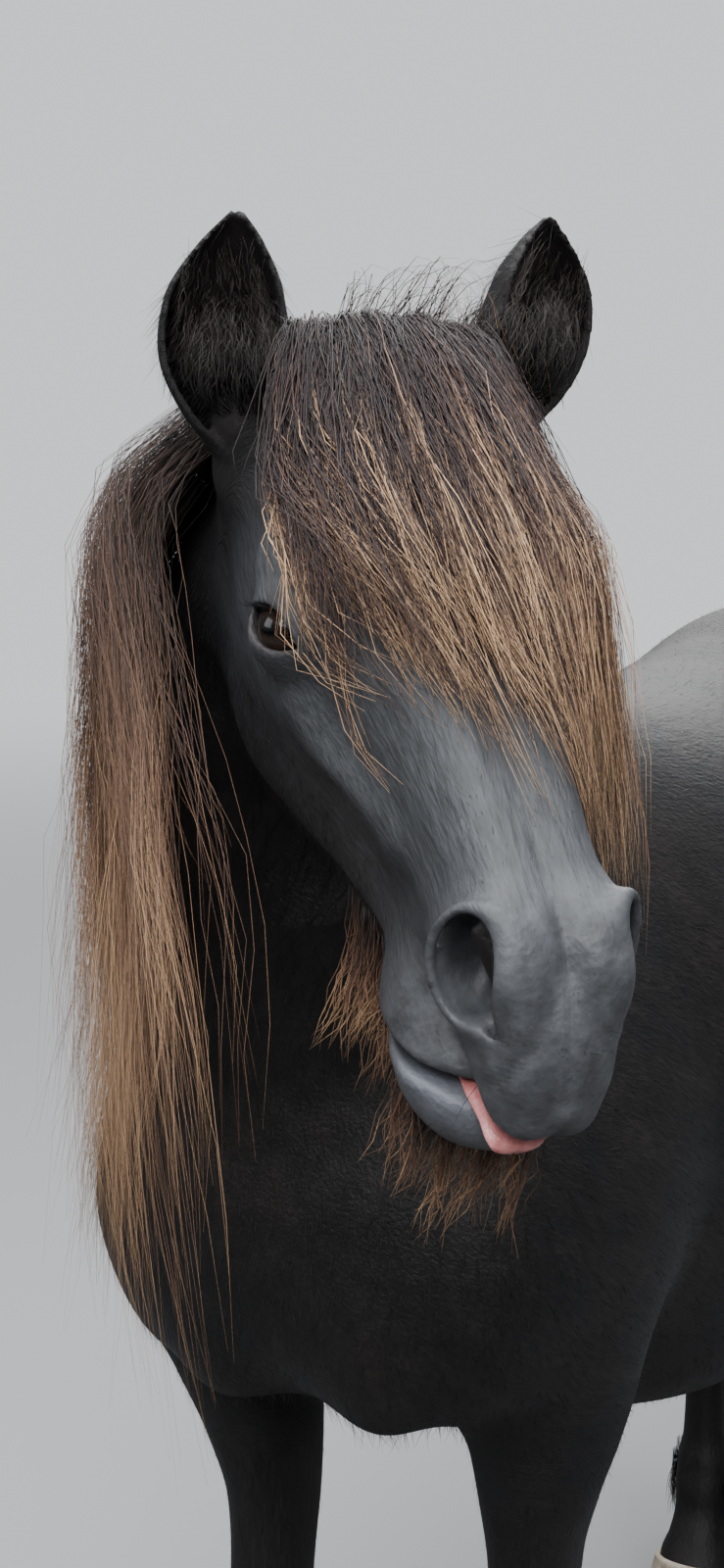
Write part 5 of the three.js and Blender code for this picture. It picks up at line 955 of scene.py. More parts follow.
def hoof_object(kind, side, material, slot):
    """Rings from the sole to the coronet, with a cleft heel."""
    h = HOOVES[kind]
    middle_x, shift = standing(kind, side, h["height"])
    columns, rows = 96, 28
    angle = np.arange(columns) / columns * 2 * math.pi
    c, s = np.cos(angle), np.sin(angle)
    heel = np.where(s > 0, 1 - 0.14 * s * s, 1)
    rings = []
    for r in range(rows + 1):
        t = r / rows
        wave = 1 + 0.006 * math.sin(t * 26) * math.sin(t * math.pi) + 0.02 * math.sin(t * math.pi)
        half_x = (h["width"] + (HOOF_RING_WIDTH - h["width"]) * t) * wave
        half_y = (h["depth"] + (HOOF_RING_DEPTH - h["depth"]) * t) * wave
        if r == 0:
            half_x, half_y = half_x - 1.0, half_y - 1.0
        cleft = 1 - 0.10 * np.exp(-((angle - math.pi / 2) / 0.16) ** 2) * (1 - t)
        x = middle_x + half_x * np.sign(c) * np.abs(c) ** 0.92
        yy = h["y"] + h["toe"] + (4 - h["toe"]) * t + half_y * np.sign(s) * np.abs(s) ** 0.92 * heel * cleft
        top = h["height"] - (yy - h["y"]) * h["slope"]
        rings.append(np.stack([x, yy + shift, t * top], -1))
    low = rings[0] * np.array([1, 1, 0])
    rings.insert(0, low.mean(0) + (low - low.mean(0)) * 0.99)
    points, faces = closed_tube(rings)
    word = SIDE_WORDS[side]
    obj = mesh_object(f"horn_{kind}_{word}", points, outward(points, faces))
    finished(obj, material, slot, f"hoof_{kind}_{word}")


HORN = horn_material("horn", (0.016, 0.014, 0.012), (0.060, 0.052, 0.043))
PALE_HORN = horn_material("pale_horn", (0.30, 0.24, 0.17), (0.62, 0.55, 0.44))
for hoof_side in SIDE_WORDS:
    hoof_object("fore", hoof_side, HORN, "horn")
    hoof_object("hind", hoof_side, HORN if hoof_side > 0 else PALE_HORN,
                "horn" if hoof_side > 0 else "pale_horn")

# Tongue
TONGUE = Profile([
    [0, -8, 318, -119, 12, 3.4], [1, -9, 342, -109.5, 14, 3.6], [2, -9, 364, -99.5, 17, 3.8],
    [3, -9, 379, -95, 17, 3.4], [4, -10, 387, -96.5, 15, 3.0], [5, -10, 390, -101, 11, 2.4],
    [5.4, -10, 390, -105, 3, 1.0]])


def tongue_object():
    """A flattened tube that ends in a rounded tip between the lips."""
    rings = []
    steps, columns = 60, 32
    turn = np.arange(columns) / columns * 2 * math.pi
    for k in range(steps + 1):
        t = TONGUE.t1 * k / steps
        here = np.array([TONGUE.at(t, c) for c in range(3)])
        ahead = np.array([TONGUE.at(min(t + 0.1, TONGUE.t1), c) for c in range(3)])
        behind = np.array([TONGUE.at(max(t - 0.1, 0), c) for c in range(3)])
        along = unit(ahead - behind)
        up = unit(np.cross([1, 0, 0], along))
        half, thick = TONGUE.at(t, 3) - 0.3, TONGUE.at(t, 4)
        groove = 0.9 * np.exp(-(np.cos(turn) / 0.3) ** 2) * (np.sin(turn) > 0)
        ring = here + np.outer(np.cos(turn) * half, [1, 0, 0]) \
            + np.outer(np.sin(turn) * thick - groove, up)
        rings.append(from_head(ring))
    points, faces = closed_tube(rings)
    obj = mesh_object("tongue_flesh", points, outward(points, faces))
    finished(obj, tongue_material(), "tongue", "tongue")


tongue_object()


# Hair: bundles of tapered strands that follow guide paths
DENSITY = 1.0
MAX_PIECE = 190000
PATCH = 0.003
ROOT_ROOM = -40.0
STRAND_FLATNESS = 0.55
TIP_PINCH = 0.72
FACE_LOW, FACE_HIGH = -200.0, 90.0


def chart(p):
    """Place of a root on an unwrap of the skin: one chart each for head, trunk and legs."""
    q = to_head(p)
    on_head = (np.abs(q[:, 0]) < 130) & (q[:, 1] > -60) & (q[:, 2] > -210)
    head_u = 0.02 + 0.46 * (np.arctan2(q[:, 0], q[:, 2] + 62) / (2 * math.pi) + 0.5)
    head_v = 0.53 + 0.44 * np.clip((q[:, 1] + 60) / 470, 0, 1)
    body_u = 0.52 + 0.46 * (np.arctan2(p[:, 0], p[:, 2] - 700) / (2 * math.pi) + 0.5)
    body_v = 0.02 + 0.94 * np.clip((p[:, 1] + 760) / 1440, 0, 1)
    leg = p[:, 2] < 440
    left, rear = p[:, 0] > 0, p[:, 1] > 0
    middle_x = np.where(left, 1, -1) * np.where(rear, 85, 100)
    turn = np.arctan2(p[:, 0] - middle_x, p[:, 1] - np.where(rear, 400, -340)) / (2 * math.pi) + 0.5
    leg_u = 0.02 + 0.12 * turn + 0.115 * (2 * left + rear)
    leg_v = 0.03 + 0.44 * np.clip(p[:, 2] / 440, 0, 1)
    u = np.where(leg, leg_u, np.where(on_head, head_u, body_u))
    v = np.where(leg, leg_v, np.where(on_head, head_v, body_v))
    return np.stack([u, v], -1)


def smooth_paths(guides, steps):
    """Catmull-Rom curves through guides (count, stations, 3)."""
    k = guides.shape[1]
    ends = (2 * guides[:, :1] - guides[:, 1:2], guides, 2 * guides[:, -1:] - guides[:, -2:-1])
    padded = np.concatenate(ends, 1)
    t = np.linspace(0, k - 1, steps + 1)
    i = np.minimum(t.astype(int), k - 2)
    s = (t - i)[None, :, None]
    p0, p1, p2, p3 = (padded[:, i + j] for j in range(4))
    return 0.5 * (2 * p1 + (p2 - p0) * s + (2 * p0 - 5 * p1 + 4 * p2 - p3) * s ** 2
                  + (3 * p1 - p0 - 3 * p2 + p3) * s ** 3)


def pushed_out(points, margin, rounds=3):
    """Points that lie under the margin above the skin are moved out to it."""
    flat = points.reshape(-1, 3).copy()
    need = np.broadcast_to(margin, points.shape[:-1]).reshape(-1)
    for _ in range(rounds):
        f = whole_field(flat[:, 0], flat[:, 1], flat[:, 2], ears=False)
        low = np.flatnonzero(f < need)
        if not len(low):
            break
        f0, g = gradient(lambda p: whole_field(p[:, 0], p[:, 1], p[:, 2], ears=False), flat[low])
        g2 = np.maximum((g * g).sum(1), 0.2)
        flat[low] += g * np.clip((need[low] - f0) / g2, 0, 20)[:, None]
    return flat.reshape(points.shape)


def strand_mesh(name, paths, normals, widths, shades, material, slot):
    """Closed tapered three-sided strands along paths (count, steps + 1, 3), split into pieces."""
    count, rows, _ = paths.shape
    per = 6 * (rows - 1) + 2
    most = max(1, MAX_PIECE // per)
    pieces = math.ceil(count / most)
    along = np.gradient(paths, axis=1)
    along = unit(along)
    side = unit(np.cross(along, normals))
    up = np.cross(side, along)
    ring = np.stack([paths + side * widths[..., None],
                     paths - side * widths[..., None],
                     paths + up * widths[..., None] * STRAND_FLATNESS], 2)
    base = (np.arange(rows - 1)[:, None] * 3)
    sides = []
    for a, b in ((0, 1), (1, 2), (2, 0)):
        sides.append(np.concatenate([base + a, base + b, base + 3 + b], 1))
        sides.append(np.concatenate([base + a, base + 3 + b, base + 3 + a], 1))
    last = 3 * (rows - 1)
    one = np.concatenate(sides + [np.array([[2, 1, 0], [last, last + 1, last + 2]])])
    roots = chart(paths[:, 0])
    made = []
    for k in range(pieces):
        part = slice(k * count // pieces, (k + 1) * count // pieces)
        n = ring[part].shape[0]
        points = ring[part].reshape(-1, 3)
        faces = (one[None] + (np.arange(n) * rows * 3)[:, None, None]).reshape(-1, 3)
        across = np.array([-0.5, 0.5, 0.0])[None, None, :] * PATCH
        down = (np.arange(rows) / (rows - 1) - 0.5)[None, :, None] * PATCH
        uv = np.stack([roots[part][:, 0, None, None] + across + 0 * down,
                       roots[part][:, 1, None, None] + down + 0 * across], -1).reshape(-1, 2)
        shade = np.repeat(shades[part].reshape(-1), 3)
        word = name if pieces == 1 else f"{name}_{k + 1}"
        obj = mesh_object(word, points, faces, attributes={"shade": shade}, uv=uv)
        made.append(finished(obj, material, slot))
    return made


def bundle(name, guides, across, material, seed, per, width, thickness, strand, steps, wave, margin,
           shade, stray, short=0.62, frizz=0.0):
    """Many strands about each guide: they share its lie, close up towards its tip and waver."""
    rng = np.random.default_rng(seed)
    per = max(3, int(per * DENSITY))
    strand = strand / math.sqrt(DENSITY)
    lines = smooth_paths(guides, steps)
    wide = smooth_paths(across, steps)
    along = unit(np.gradient(lines, axis=1))
    wide = unit(wide - along * (wide * along).sum(-1, keepdims=True))
    out = unit(np.cross(along, wide))
    count = len(guides) * per
    which = np.repeat(np.arange(len(guides)), per)
    s = np.linspace(0, 1, steps + 1)[None]
    radius = np.sqrt(rng.random(count))
    turn = rng.random(count) * 2 * math.pi
    u = (radius * np.cos(turn))[:, None]
    v = (radius * np.sin(turn))[:, None]
    length = short + (1 - short) * rng.random(count) ** 0.7
    loose = rng.random(count) < stray
    close = 1 - TIP_PINCH * s ** 1.6
    close = np.where(loose[:, None], 1 + 0.7 * s, close)
    station = s * length[:, None] * steps
    i = np.minimum(station.astype(int), steps - 1)
    t = (station - i)[..., None]
    row = which[:, None]

    def at(values):
        return values[row, i] * (1 - t) + values[row, i + 1] * t

    centre, w, o = at(lines), at(wide), at(out)
    gw = np.broadcast_to(np.asarray(width, float), (len(guides),))[which][:, None]
    gt = np.broadcast_to(np.asarray(thickness, float), (len(guides),))[which][:, None]
    phase = rng.random((count, 4)) * 2 * math.pi
    speed = 5 + 6 * rng.random((count, 2))
    size = wave * (0.5 + rng.random((count, 2)))
    ripple_w = size[:, :1] * s * np.sin(speed[:, :1] * s + phase[:, :1])
    ripple_w += 0.4 * size[:, :1] * s * np.sin(2.7 * speed[:, :1] * s + phase[:, 2:3])
    ripple_o = 0.7 * size[:, 1:] * s * np.sin(speed[:, 1:] * s + phase[:, 1:2])
    tight = frizz * (rng.random((count, 1)) ** 2) * smoothstep(0.05, 0.5, s)
    ripple_w += tight * np.sin(30 * s + 6.3 * phase[:, 3:4])
    ripple_o += tight * np.cos(27 * s + 5.1 * phase[:, 3:4])
    paths = centre + w * (gw * u * close + ripple_w)[..., None] \
        + o * (gt * v * close + ripple_o)[..., None]
    rise = np.where(s < 0.02, ROOT_ROOM, margin * smoothstep(0.0, 0.08, s))
    paths = pushed_out(paths, rise)
    taper = 1 - 0.8 * np.clip((s - 0.6) / 0.4, 0, 1) ** 1.5
    widths = strand * (0.7 + 0.6 * rng.random(count))[:, None] * taper * 0.5
    tone = (rng.random(count) - 0.5) * 0.34
    tone = (tone + (rng.random(len(guides))[which] - 0.5) * 0.40)[:, None]
    shades = shade[0] + (shade[1] - shade[0]) * s * (0.4 + 0.6 * length[:, None])
    shades = shades + tone * smoothstep(-0.1, 0.25, s)
    return strand_mesh(name, paths, o, widths, np.clip(shades, 0, 1), material, "mane")


def head_top(x, u):
    """Height w of the face over points x, u of the head frame."""
    w = np.full(x.shape, FACE_HIGH)
    going = np.ones(x.shape, bool)
    while going.any():
        f = head_field(x[going], u[going], w[going])
        move = np.where(f > 0, np.maximum(f * 0.6, 0.6), 0)
        w[going] -= move
        state = going.copy()
        going[state] = (f > 0) & (w[state] > FACE_LOW)
    return w


def either_way(rng, shape, size):
    """Random values between minus the size and the size."""
    return (rng.random(shape) * 2 - 1) * size


FORELOCK_STATIONS = np.array([0, 0.06, 0.14, 0.26, 0.42, 0.6, 0.8, 1.0])


def forelock_guides(count, seed):
    """Paths that fan out from the poll over the brow."""
    rng = np.random.default_rng(seed)
    each = (count, 1)
    a = np.linspace(0, 1, count)[:, None]
    layer = ((np.arange(count) * 2) % 3)[:, None]
    s = FORELOCK_STATIONS[None]
    x0 = -34 + 66 * a + either_way(rng, each, 5)
    u0 = 16 - 38 * layer / 2 + either_way(rng, each, 5)
    swing = -106 + 232 * a + either_way(rng, each, 9)
    x1 = -46 + 152 * a + either_way(rng, each, 14)
    length = 190 + 76 * np.sin(0.72 * math.pi * a) + either_way(rng, each, 22)
    x = x0 * (1 - s) ** 2 + swing * 2 * s * (1 - s) + x1 * s * s
    size = 2 + 5 * rng.random(each)
    x = x + size * s * np.sin((5 + 5 * rng.random(each)) * s + either_way(rng, each, 3.1))
    u = u0 + length * s
    w = head_top(x, u)
    puff = 18 * np.exp(-18 * (s - 0.14) ** 2)
    lift = 4 + 8 * layer + 6 * np.sin(s * math.pi) + puff
    lift = np.where(s == 0, -10, lift)
    w = w + lift
    for k in range(2, w.shape[1]):
        ds = FORELOCK_STATIONS[k] - FORELOCK_STATIONS[k - 1]
        w[:, k] = np.maximum(w[:, k], w[:, k - 1] - 0.8 * length[:, 0] * ds)
    guides = from_head(np.stack([x, u, w], -1))
    across = np.stack([np.ones_like(x), -0.2 + 0 * x, -0.5 * x / 90], -1) @ HEAD_AXES
    return guides, unit(across)


MANE_STATIONS = np.array([0, 0.06, 0.14, 0.24, 0.36, 0.48, 0.6, 0.72, 0.86, 1.0])


def mane_guides(count, seed):
    """Paths that fall from the crest down the right side of the neck."""
    rng = np.random.default_rng(seed)
    each = (count, 1)
    a = np.linspace(0, 1, count)[:, None]
    layer = (np.arange(count) % 3)[:, None] * 0.66
    s = MANE_STATIONS[None]
    s0 = 4.8 - 3.95 * a
    ny, nz = crest_point(s0)
    rx, ry = turned(np.zeros_like(ny), ny, nz)
    ax, ay = turned(np.full_like(ny, -20), ny, nz)
    right = unit(np.concatenate([ax - rx, ay - ry, 0 * ax], 1))[:, None]
    ahead = np.stack([-right[..., 1], right[..., 0], right[..., 2]], -1)
    inward = rng.random(each) ** 1.3 * (1 - a) ** 1.2
    length = 560 - 160 * a - 210 * inward + either_way(rng, each, 45)
    out = NECK.at(s0, 4) * 0.9 + 18 + 14 * layer + 24 * (1 - a) ** 2
    p = np.stack([rx, ry, nz], -1) + np.zeros((1, s.shape[1], 1))
    p = p + right * (out * np.minimum(1, (s * 4) ** 0.75))[..., None]
    drift = -4 + 180 * inward + 86 * s * s
    turns = 6 + 7 * rng.random(each)
    start = rng.random((count, 2)) * 2 * math.pi
    sway = (7 + 12 * rng.random(each)) * s * np.sin(turns * s + start[:, :1])
    bulge = 0.7 * (7 + 12 * rng.random(each)) * s * np.sin(turns * s + start[:, 1:])
    p = p + ahead * (drift * s + sway)[..., None] + right * bulge[..., None]
    rise = np.where(s == 0, -10, 22 + 7 * layer - length * s ** 1.3)
    p[..., 2] += rise
    margin = np.where(s == 0, -100, 5 + 8 * layer)
    p = pushed_out(p, margin, 5)
    across = np.broadcast_to(ahead, p.shape)
    return p, across


def marched(x, u, w, toward, share, least, rounds, low, high):
    """Heights w over points x, u of the head frame, moved step by step to the skin."""
    for _ in range(rounds):
        f = head_field(x, u, w)
        w = np.clip(w + toward * np.where(f > 0, np.maximum(f * share, least), 0), low, high)
    return w


def beard_guides(count, seed):
    """Paths that hang from the underside of the jaw."""
    rng = np.random.default_rng(seed)
    a = np.linspace(0, 1, count)
    u = 212 + 118 * a + either_way(rng, count, 10)
    x = either_way(rng, count, 32)
    w = marched(x, u, np.full(count, -240.0), 1, 0.6, 0.5, 140, -240.0, 60.0)
    start = from_head(np.stack([x, u, w + 6], -1))
    length = (76 - 8 * a + either_way(rng, count, 24))[:, None, None]
    s = np.linspace(0, 1, 5)[None, :, None]
    sweep = np.stack([-0.34 + 0.3 * rng.random(count), -0.1 - 0.1 * rng.random(count), 0 * a], -1)[:, None]
    p = start[:, None] + np.array([0, 0, -1]) * length * s + sweep * length * s * s * 0.8
    across = np.broadcast_to(HEAD_U * 0.8 + HEAD_X * 0.4, p.shape)
    return p, across


TAIL_ROWS = np.array([[594, 842, 34, 30], [612, 816, 42, 32], [622, 760, 50, 34], [624, 680, 54, 34]])


def tail_guides(count, seed):
    """Paths that fall about the dock, from its root to its end."""
    rng = np.random.default_rng(seed)
    s = FORELOCK_STATIONS
    guides, across = [], []
    for i in range(count):
        a = 2 * math.pi * ((i * 0.618) % 1)
        t = (i / count) * 3.0
        k = min(int(t), 2)
        row = TAIL_ROWS[k] + (TAIL_ROWS[k + 1] - TAIL_ROWS[k]) * (t - k)
        out = np.array([math.cos(a), math.sin(a) * 0.7, 0])
        length = row[1] - 140 + either_way(rng, None, 55)
        spread = row[2] * 0.6 + (52 - row[2] * 0.6) * np.minimum(1, s * 1.3) + 12 * np.sin(s * math.pi)
        spread *= 0.55 + 0.45 * rng.random()
        y = row[0] + (628 - row[0]) * np.minimum(1, s * 1.5)
        p = np.stack([0 * s, y, row[1] - length * s], -1) + out * spread[:, None]
        guides.append(p)
        across.append(np.tile([-out[1], out[0], 0], (len(s), 1)))
    return pushed_out(np.array(guides), 3.0), np.array(across, float)


def feather_guides(kind, side, count, seed):
    """Paths about the back of one fetlock."""
    rng = np.random.default_rng(seed)
    table = FORE if kind == "fore" else HIND
    a = np.linspace(-1.9, 1.9, count)
    z0 = 130 + 24 * np.cos(a * 0.8) + either_way(rng, count, 12)
    middle_x, back = standing(kind, side, z0)
    out = np.stack([np.sin(a) * side, np.cos(a), 0 * a], -1)
    start = np.stack([middle_x + side * table.at(z0, 1), table.at(z0, 0) + back, z0], -1) + out * 18
    s = np.linspace(0, 1, 5)[None, :, None]
    length = (86 - 14 * np.abs(a))[:, None, None]
    p = start[:, None] + np.array([0, 0, -1]) * length * s
    p = p + out[:, None] * (6 + 15 * np.sin(s * 2.2) * np.maximum(np.cos(a * 0.6), 0.3)[:, None, None])
    p[..., 2] = np.maximum(p[..., 2], 6)
    across = np.stack([out[:, 1], -out[:, 0], 0 * a], -1)[:, None]
    return pushed_out(p, 2.0), np.broadcast_to(across, p.shape).copy()


FORELOCK_TONES = [(0.0, (0.007, 0.0054, 0.0062)), (0.38, (0.021, 0.0130, 0.0134)),
                  (0.66, (0.035, 0.0195, 0.0185)), (0.84, (0.112, 0.060, 0.041)), (1.0, (0.60, 0.38, 0.22))]
MANE_TONES = [(0.0, (0.007, 0.0056, 0.0058)), (0.32, (0.028, 0.0170, 0.0142)),
              (0.62, (0.105, 0.056, 0.037)), (0.84, (0.22, 0.120, 0.070)), (1.0, (0.44, 0.27, 0.150))]
DARK_TONES = [(0.0, (0.0025, 0.0024, 0.0028)), (0.5, (0.009, 0.0082, 0.0082)), (1.0, (0.060, 0.050, 0.045))]

FORELOCK_HAIR = hair_material("forelock_hair", FORELOCK_TONES)
MANE_HAIR = hair_material("mane_hair", MANE_TONES)
FUR = hair_material("fur", DARK_TONES, roughness=0.5, sheen=0.0)

guides, across = forelock_guides(count=112, seed=11)
bundle("forelock", guides, across, FORELOCK_HAIR, seed=12, per=42, width=8.5, thickness=5.5,
       strand=0.62, steps=11, wave=5.4, margin=2.5, shade=(0.16, 0.96), stray=0.17, short=0.5, frizz=1.6)
guides, across = mane_guides(count=118, seed=21)
mane = bundle("mane", guides, across, MANE_HAIR, seed=22, per=35, width=13.0, thickness=8.0,
              strand=0.76, steps=13, wave=12.0, margin=3.0, shade=(0.10, 1.04), stray=0.18, short=0.45,
              frizz=4.4)
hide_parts("neck")
guides, across = tail_guides(count=60, seed=31)
tail = bundle("tail_hair", guides, across, MANE_HAIR, seed=32, per=34, width=17.0, thickness=9.0,
              strand=1.0, steps=10, wave=8.0, margin=2.0, shade=(0.05, 0.80), stray=0.14, frizz=2.5)
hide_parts("tail")
guides, across = beard_guides(count=52, seed=41)
bundle("beard", guides, across, MANE_HAIR, seed=42, per=28, width=8.0, thickness=6.0, strand=0.55,
       steps=6, wave=4.0, margin=1.0, shade=(0.10, 0.95), stray=0.3)
for kind, seed in (("fore", 51), ("hind", 55)):
    for side, word in SIDE_WORDS.items():
        guides, across = feather_guides(kind, side, count=18, seed=seed + side)
        bundle(f"feather_{kind}_{word}", guides, across, FUR, seed=61 + side, per=26, width=8.0,
               thickness=4.0, strand=0.7, steps=6, wave=3.0, margin=1.0, shade=(0.1, 0.7), stray=0.15)


# Short fur: small spikes that follow the lie of the coat and break its outline
def skin_roots(count, seed):
    """Random points of the skin with their outward directions."""
    rng = np.random.default_rng(seed)
    a, b, c, d = (skin_points[skin_faces[:, k]] for k in range(4))
    across = np.cross(c - a, d - b)
    weight = np.linalg.norm(across, axis=1) * fur_density((a + b + c + d) / 4)
    total = np.cumsum(weight)
    pick = np.searchsorted(total, rng.random(count) * total[-1])
    u, v = rng.random((2, count, 1))
    p = (a[pick] * (1 - u) + b[pick] * u) * (1 - v) + (d[pick] * (1 - u) + c[pick] * u) * v
    return p, unit(across[pick])


def fur_density(p):
    """Share of tufts on the skin: most on the head, none on the eyes and nostrils."""
    q = to_head(p)
    near_head = smoothstep(-60, 0, q[:, 1]) * smoothstep(-230, -150, q[:, 2]) \
        * smoothstep(160, 120, np.abs(q[:, 0]))
    ax = np.abs(q[:, 0])
    bare = smoothstep(230, 320, q[:, 1] - 0.2 * (q[:, 2] + 60)) * near_head
    bare = np.maximum(bare, 0.5 * smoothstep(-95, -75, q[:, 2]) * near_head)
    eye = np.exp(-((ax - 78) ** 2 + (q[:, 1] - 136) ** 2 + (q[:, 2] + 30) ** 2) / 2 / 15 ** 2)
    nostril = np.exp(-((ax - 38) ** 2 + (q[:, 1] - 345) ** 2 + (q[:, 2] + 25) ** 2) / 2 / 18 ** 2)
    front = smoothstep(100, -500, p[:, 1])
    return (0.13 + 0.12 * front + 0.7 * near_head) * (1 - 0.85 * bare) * (1 - np.minimum(1, eye * 3)) \
        * (1 - np.minimum(1, nostril * 3))


def fur_length(p, normal):
    """Length of the tufts in millimetres."""
    q = to_head(p)
    on_head = smoothstep(-40, 20, q[:, 1]) * smoothstep(-240, -190, q[:, 2]) \
        * smoothstep(150, 120, np.abs(q[:, 0]))
    under = smoothstep(-0.2, -0.8, normal[:, 2])
    body = 13 + 12 * under * smoothstep(420, 520, p[:, 2])
    body = body + 8 * smoothstep(-350, -430, p[:, 1]) * smoothstep(600, 700, p[:, 2])
    leg = smoothstep(480, 400, p[:, 2])
    body = body * (1 - leg) + 9 * leg
    jaw = smoothstep(-80, -130, q[:, 2]) * smoothstep(330, 230, q[:, 1])
    face = 4.5 + 10 * jaw
    bare = smoothstep(270, 330, q[:, 1])
    face = face * (1 - bare) + 2.6 * bare
    ear = smoothstep(0, 20, q[:, 2]) * smoothstep(50, 20, q[:, 1])
    face = face * (1 - ear) + 6.0 * ear
    return body * (1 - on_head) + face * on_head


def fur(count, seed, width, tone, lift, spread):
    rng = np.random.default_rng(seed)
    p, normal = skin_roots(count, seed + 1)
    lie = coat_lie(p)
    flat = unit(lie - normal * (lie * normal).sum(1)[:, None])
    turn = either_way(rng, count, spread)[:, None]
    flat = unit(flat + np.cross(normal, flat) * turn)
    length = (fur_length(p, normal) * (0.6 + 0.8 * rng.random(count)))[:, None]
    rise = lift * (0.4 + 1.2 * rng.random(count))[:, None]
    root = p - normal * 1.2
    tip = p + flat * length + normal * length * rise
    paths = np.stack([root, tip], 1)
    widths = width * (0.7 + 0.6 * rng.random(count))[:, None] * np.array([1.0, 0.12]) * 0.5
    # Painted sheen: tufts on the face are made lighter where sky light would fall.
    tone = tone * (1 + 0.5 * face_sheen_share(to_head(p)))
    shades = (tone * (0.3 + 0.7 * rng.random(count)))[:, None] * np.array([0.5, 1.3])
    return strand_mesh("fur", paths, np.repeat(normal[:, None], 2, 1), widths,
                       np.clip(shades, 0, 1), FUR, "coat")


fur(count=int(50000 * DENSITY), seed=71, width=0.42, tone=0.62, lift=0.16, spread=0.3)


# Hair in the ears, lashes, whiskers and loose wisps
def loose_hair(name, guides, material, slot, seed, width, tone, wave, steps):
    """Single hairs along guides (count, stations, 3), each with a slight waver of its own."""
    rng = np.random.default_rng(seed)
    count = len(guides)
    paths = smooth_paths(guides, steps)
    along = unit(np.gradient(paths, axis=1))
    side = unit(np.cross(along, np.array([0.3, 0.5, 0.8])))
    other = np.cross(along, side)
    s = np.linspace(0, 1, steps + 1)[None]
    phase = rng.random((count, 2)) * 2 * math.pi
    speed = 6 + 7 * rng.random((count, 2))
    size = wave * (0.4 + rng.random((count, 2)))
    paths = paths + side * (size[:, :1] * s * np.sin(speed[:, :1] * s + phase[:, :1]))[..., None]
    paths = paths + other * (size[:, 1:] * s * np.sin(speed[:, 1:] * s + phase[:, 1:]))[..., None]
    widths = width * (0.7 + 0.6 * rng.random(count))[:, None] * (1 - 0.8 * s ** 2) * 0.5
    shades = tone[0] + (tone[1] - tone[0]) * s + (rng.random(count)[:, None] - 0.5) * 0.2
    return strand_mesh(name, paths, other, widths, np.clip(shades, 0, 1), material, slot)


def ear_hair_guides(side, count, seed):
    """Hairs that start along the inside of the cup and lie across its opening."""
    rng = np.random.default_rng(seed)
    _, axis, opening, crosswise = ear_frame(side)
    s = 0.02 + 0.62 * rng.random(count) ** 1.3
    turn = math.pi + either_way(rng, count, math.pi - EAR_OPENING.at(s, 0) - 0.12)
    radius = EAR_RADIUS.at(s, 0) - EAR_WALL.at(s, 0) - 0.4
    centre = EAR_BASE[side] + (EAR_TIP[side] - EAR_BASE[side]) * s[:, None] \
        + crosswise * (EAR_BOW * np.sin(s * math.pi))[:, None]
    way = opening * (np.cos(turn) * 0.82)[:, None] + crosswise * np.sin(turn)[:, None]
    root = centre + way * radius[:, None]
    length = (17 + 15 * rng.random(count))[:, None]
    inward = -way * 0.55 + opening * 0.25
    up = axis * (0.75 + 0.4 * rng.random(count))[:, None]
    stations = [root + way]
    for k in (0.33, 0.66, 1.0):
        stations.append(root + inward * length * (k - 0.35 * k * k) + up * length * k)
    p = np.stack(stations, 1)
    return from_head(p * [side, 1, 1])


def ear_base_guides(side, count, seed):
    """Hair that rises from the head in front of the ear and curls into its cup."""
    rng = np.random.default_rng(seed)
    _, axis, opening, crosswise = ear_frame(side)
    stem = np.array([75.0, 6.0, -14.0] if side > 0 else [60.0, 8.0, -24.0])
    turn = either_way(rng, count, 2.2)
    tilt = 0.35 + 0.9 * rng.random(count)
    way = unit(axis * np.cos(tilt)[:, None] + (opening * np.cos(turn)[:, None]
               + crosswise * np.sin(turn)[:, None]) * np.sin(tilt)[:, None])
    root = stem + way * 20.5
    length = (20 + 20 * rng.random(count))[:, None]
    p = np.stack([root, root + way * length * 0.35 + axis * length * 0.15,
                  root + way * length * 0.42 + axis * length * 0.55,
                  root + way * length * 0.25 + axis * length * 0.95], 1)
    return from_head(p * [side, 1, 1])


def lash_guides(side, count, seed):
    """Lashes along the upper lid."""
    rng = np.random.default_rng(seed)
    t = np.linspace(-0.9, 0.9, count) + either_way(rng, count, 0.03)
    a = t * EYE_HALF_LENGTH
    b = EYE_OPEN_UP * (1 - t * t) + 0.8
    c = np.sqrt(np.maximum((EYE_RADIUS + 3.4) ** 2 - a * a - b * b, 60))
    root = EYE_CENTRE + EYE_LONG * a[:, None] + EYE_UP * b[:, None] + EYE_AXIS * c[:, None]
    out = unit(EYE_AXIS * 1.0 + EYE_LONG * (0.35 * t)[:, None] - EYE_UP * 0.12)
    length = (8 + 5 * rng.random(count))[:, None]
    p = np.stack([root - out * 1.5, root + out * length * 0.5 - EYE_UP * length * 0.04,
                  root + out * length + EYE_UP * length * 0.10], 1)
    return from_head(p * [side, 1, 1])


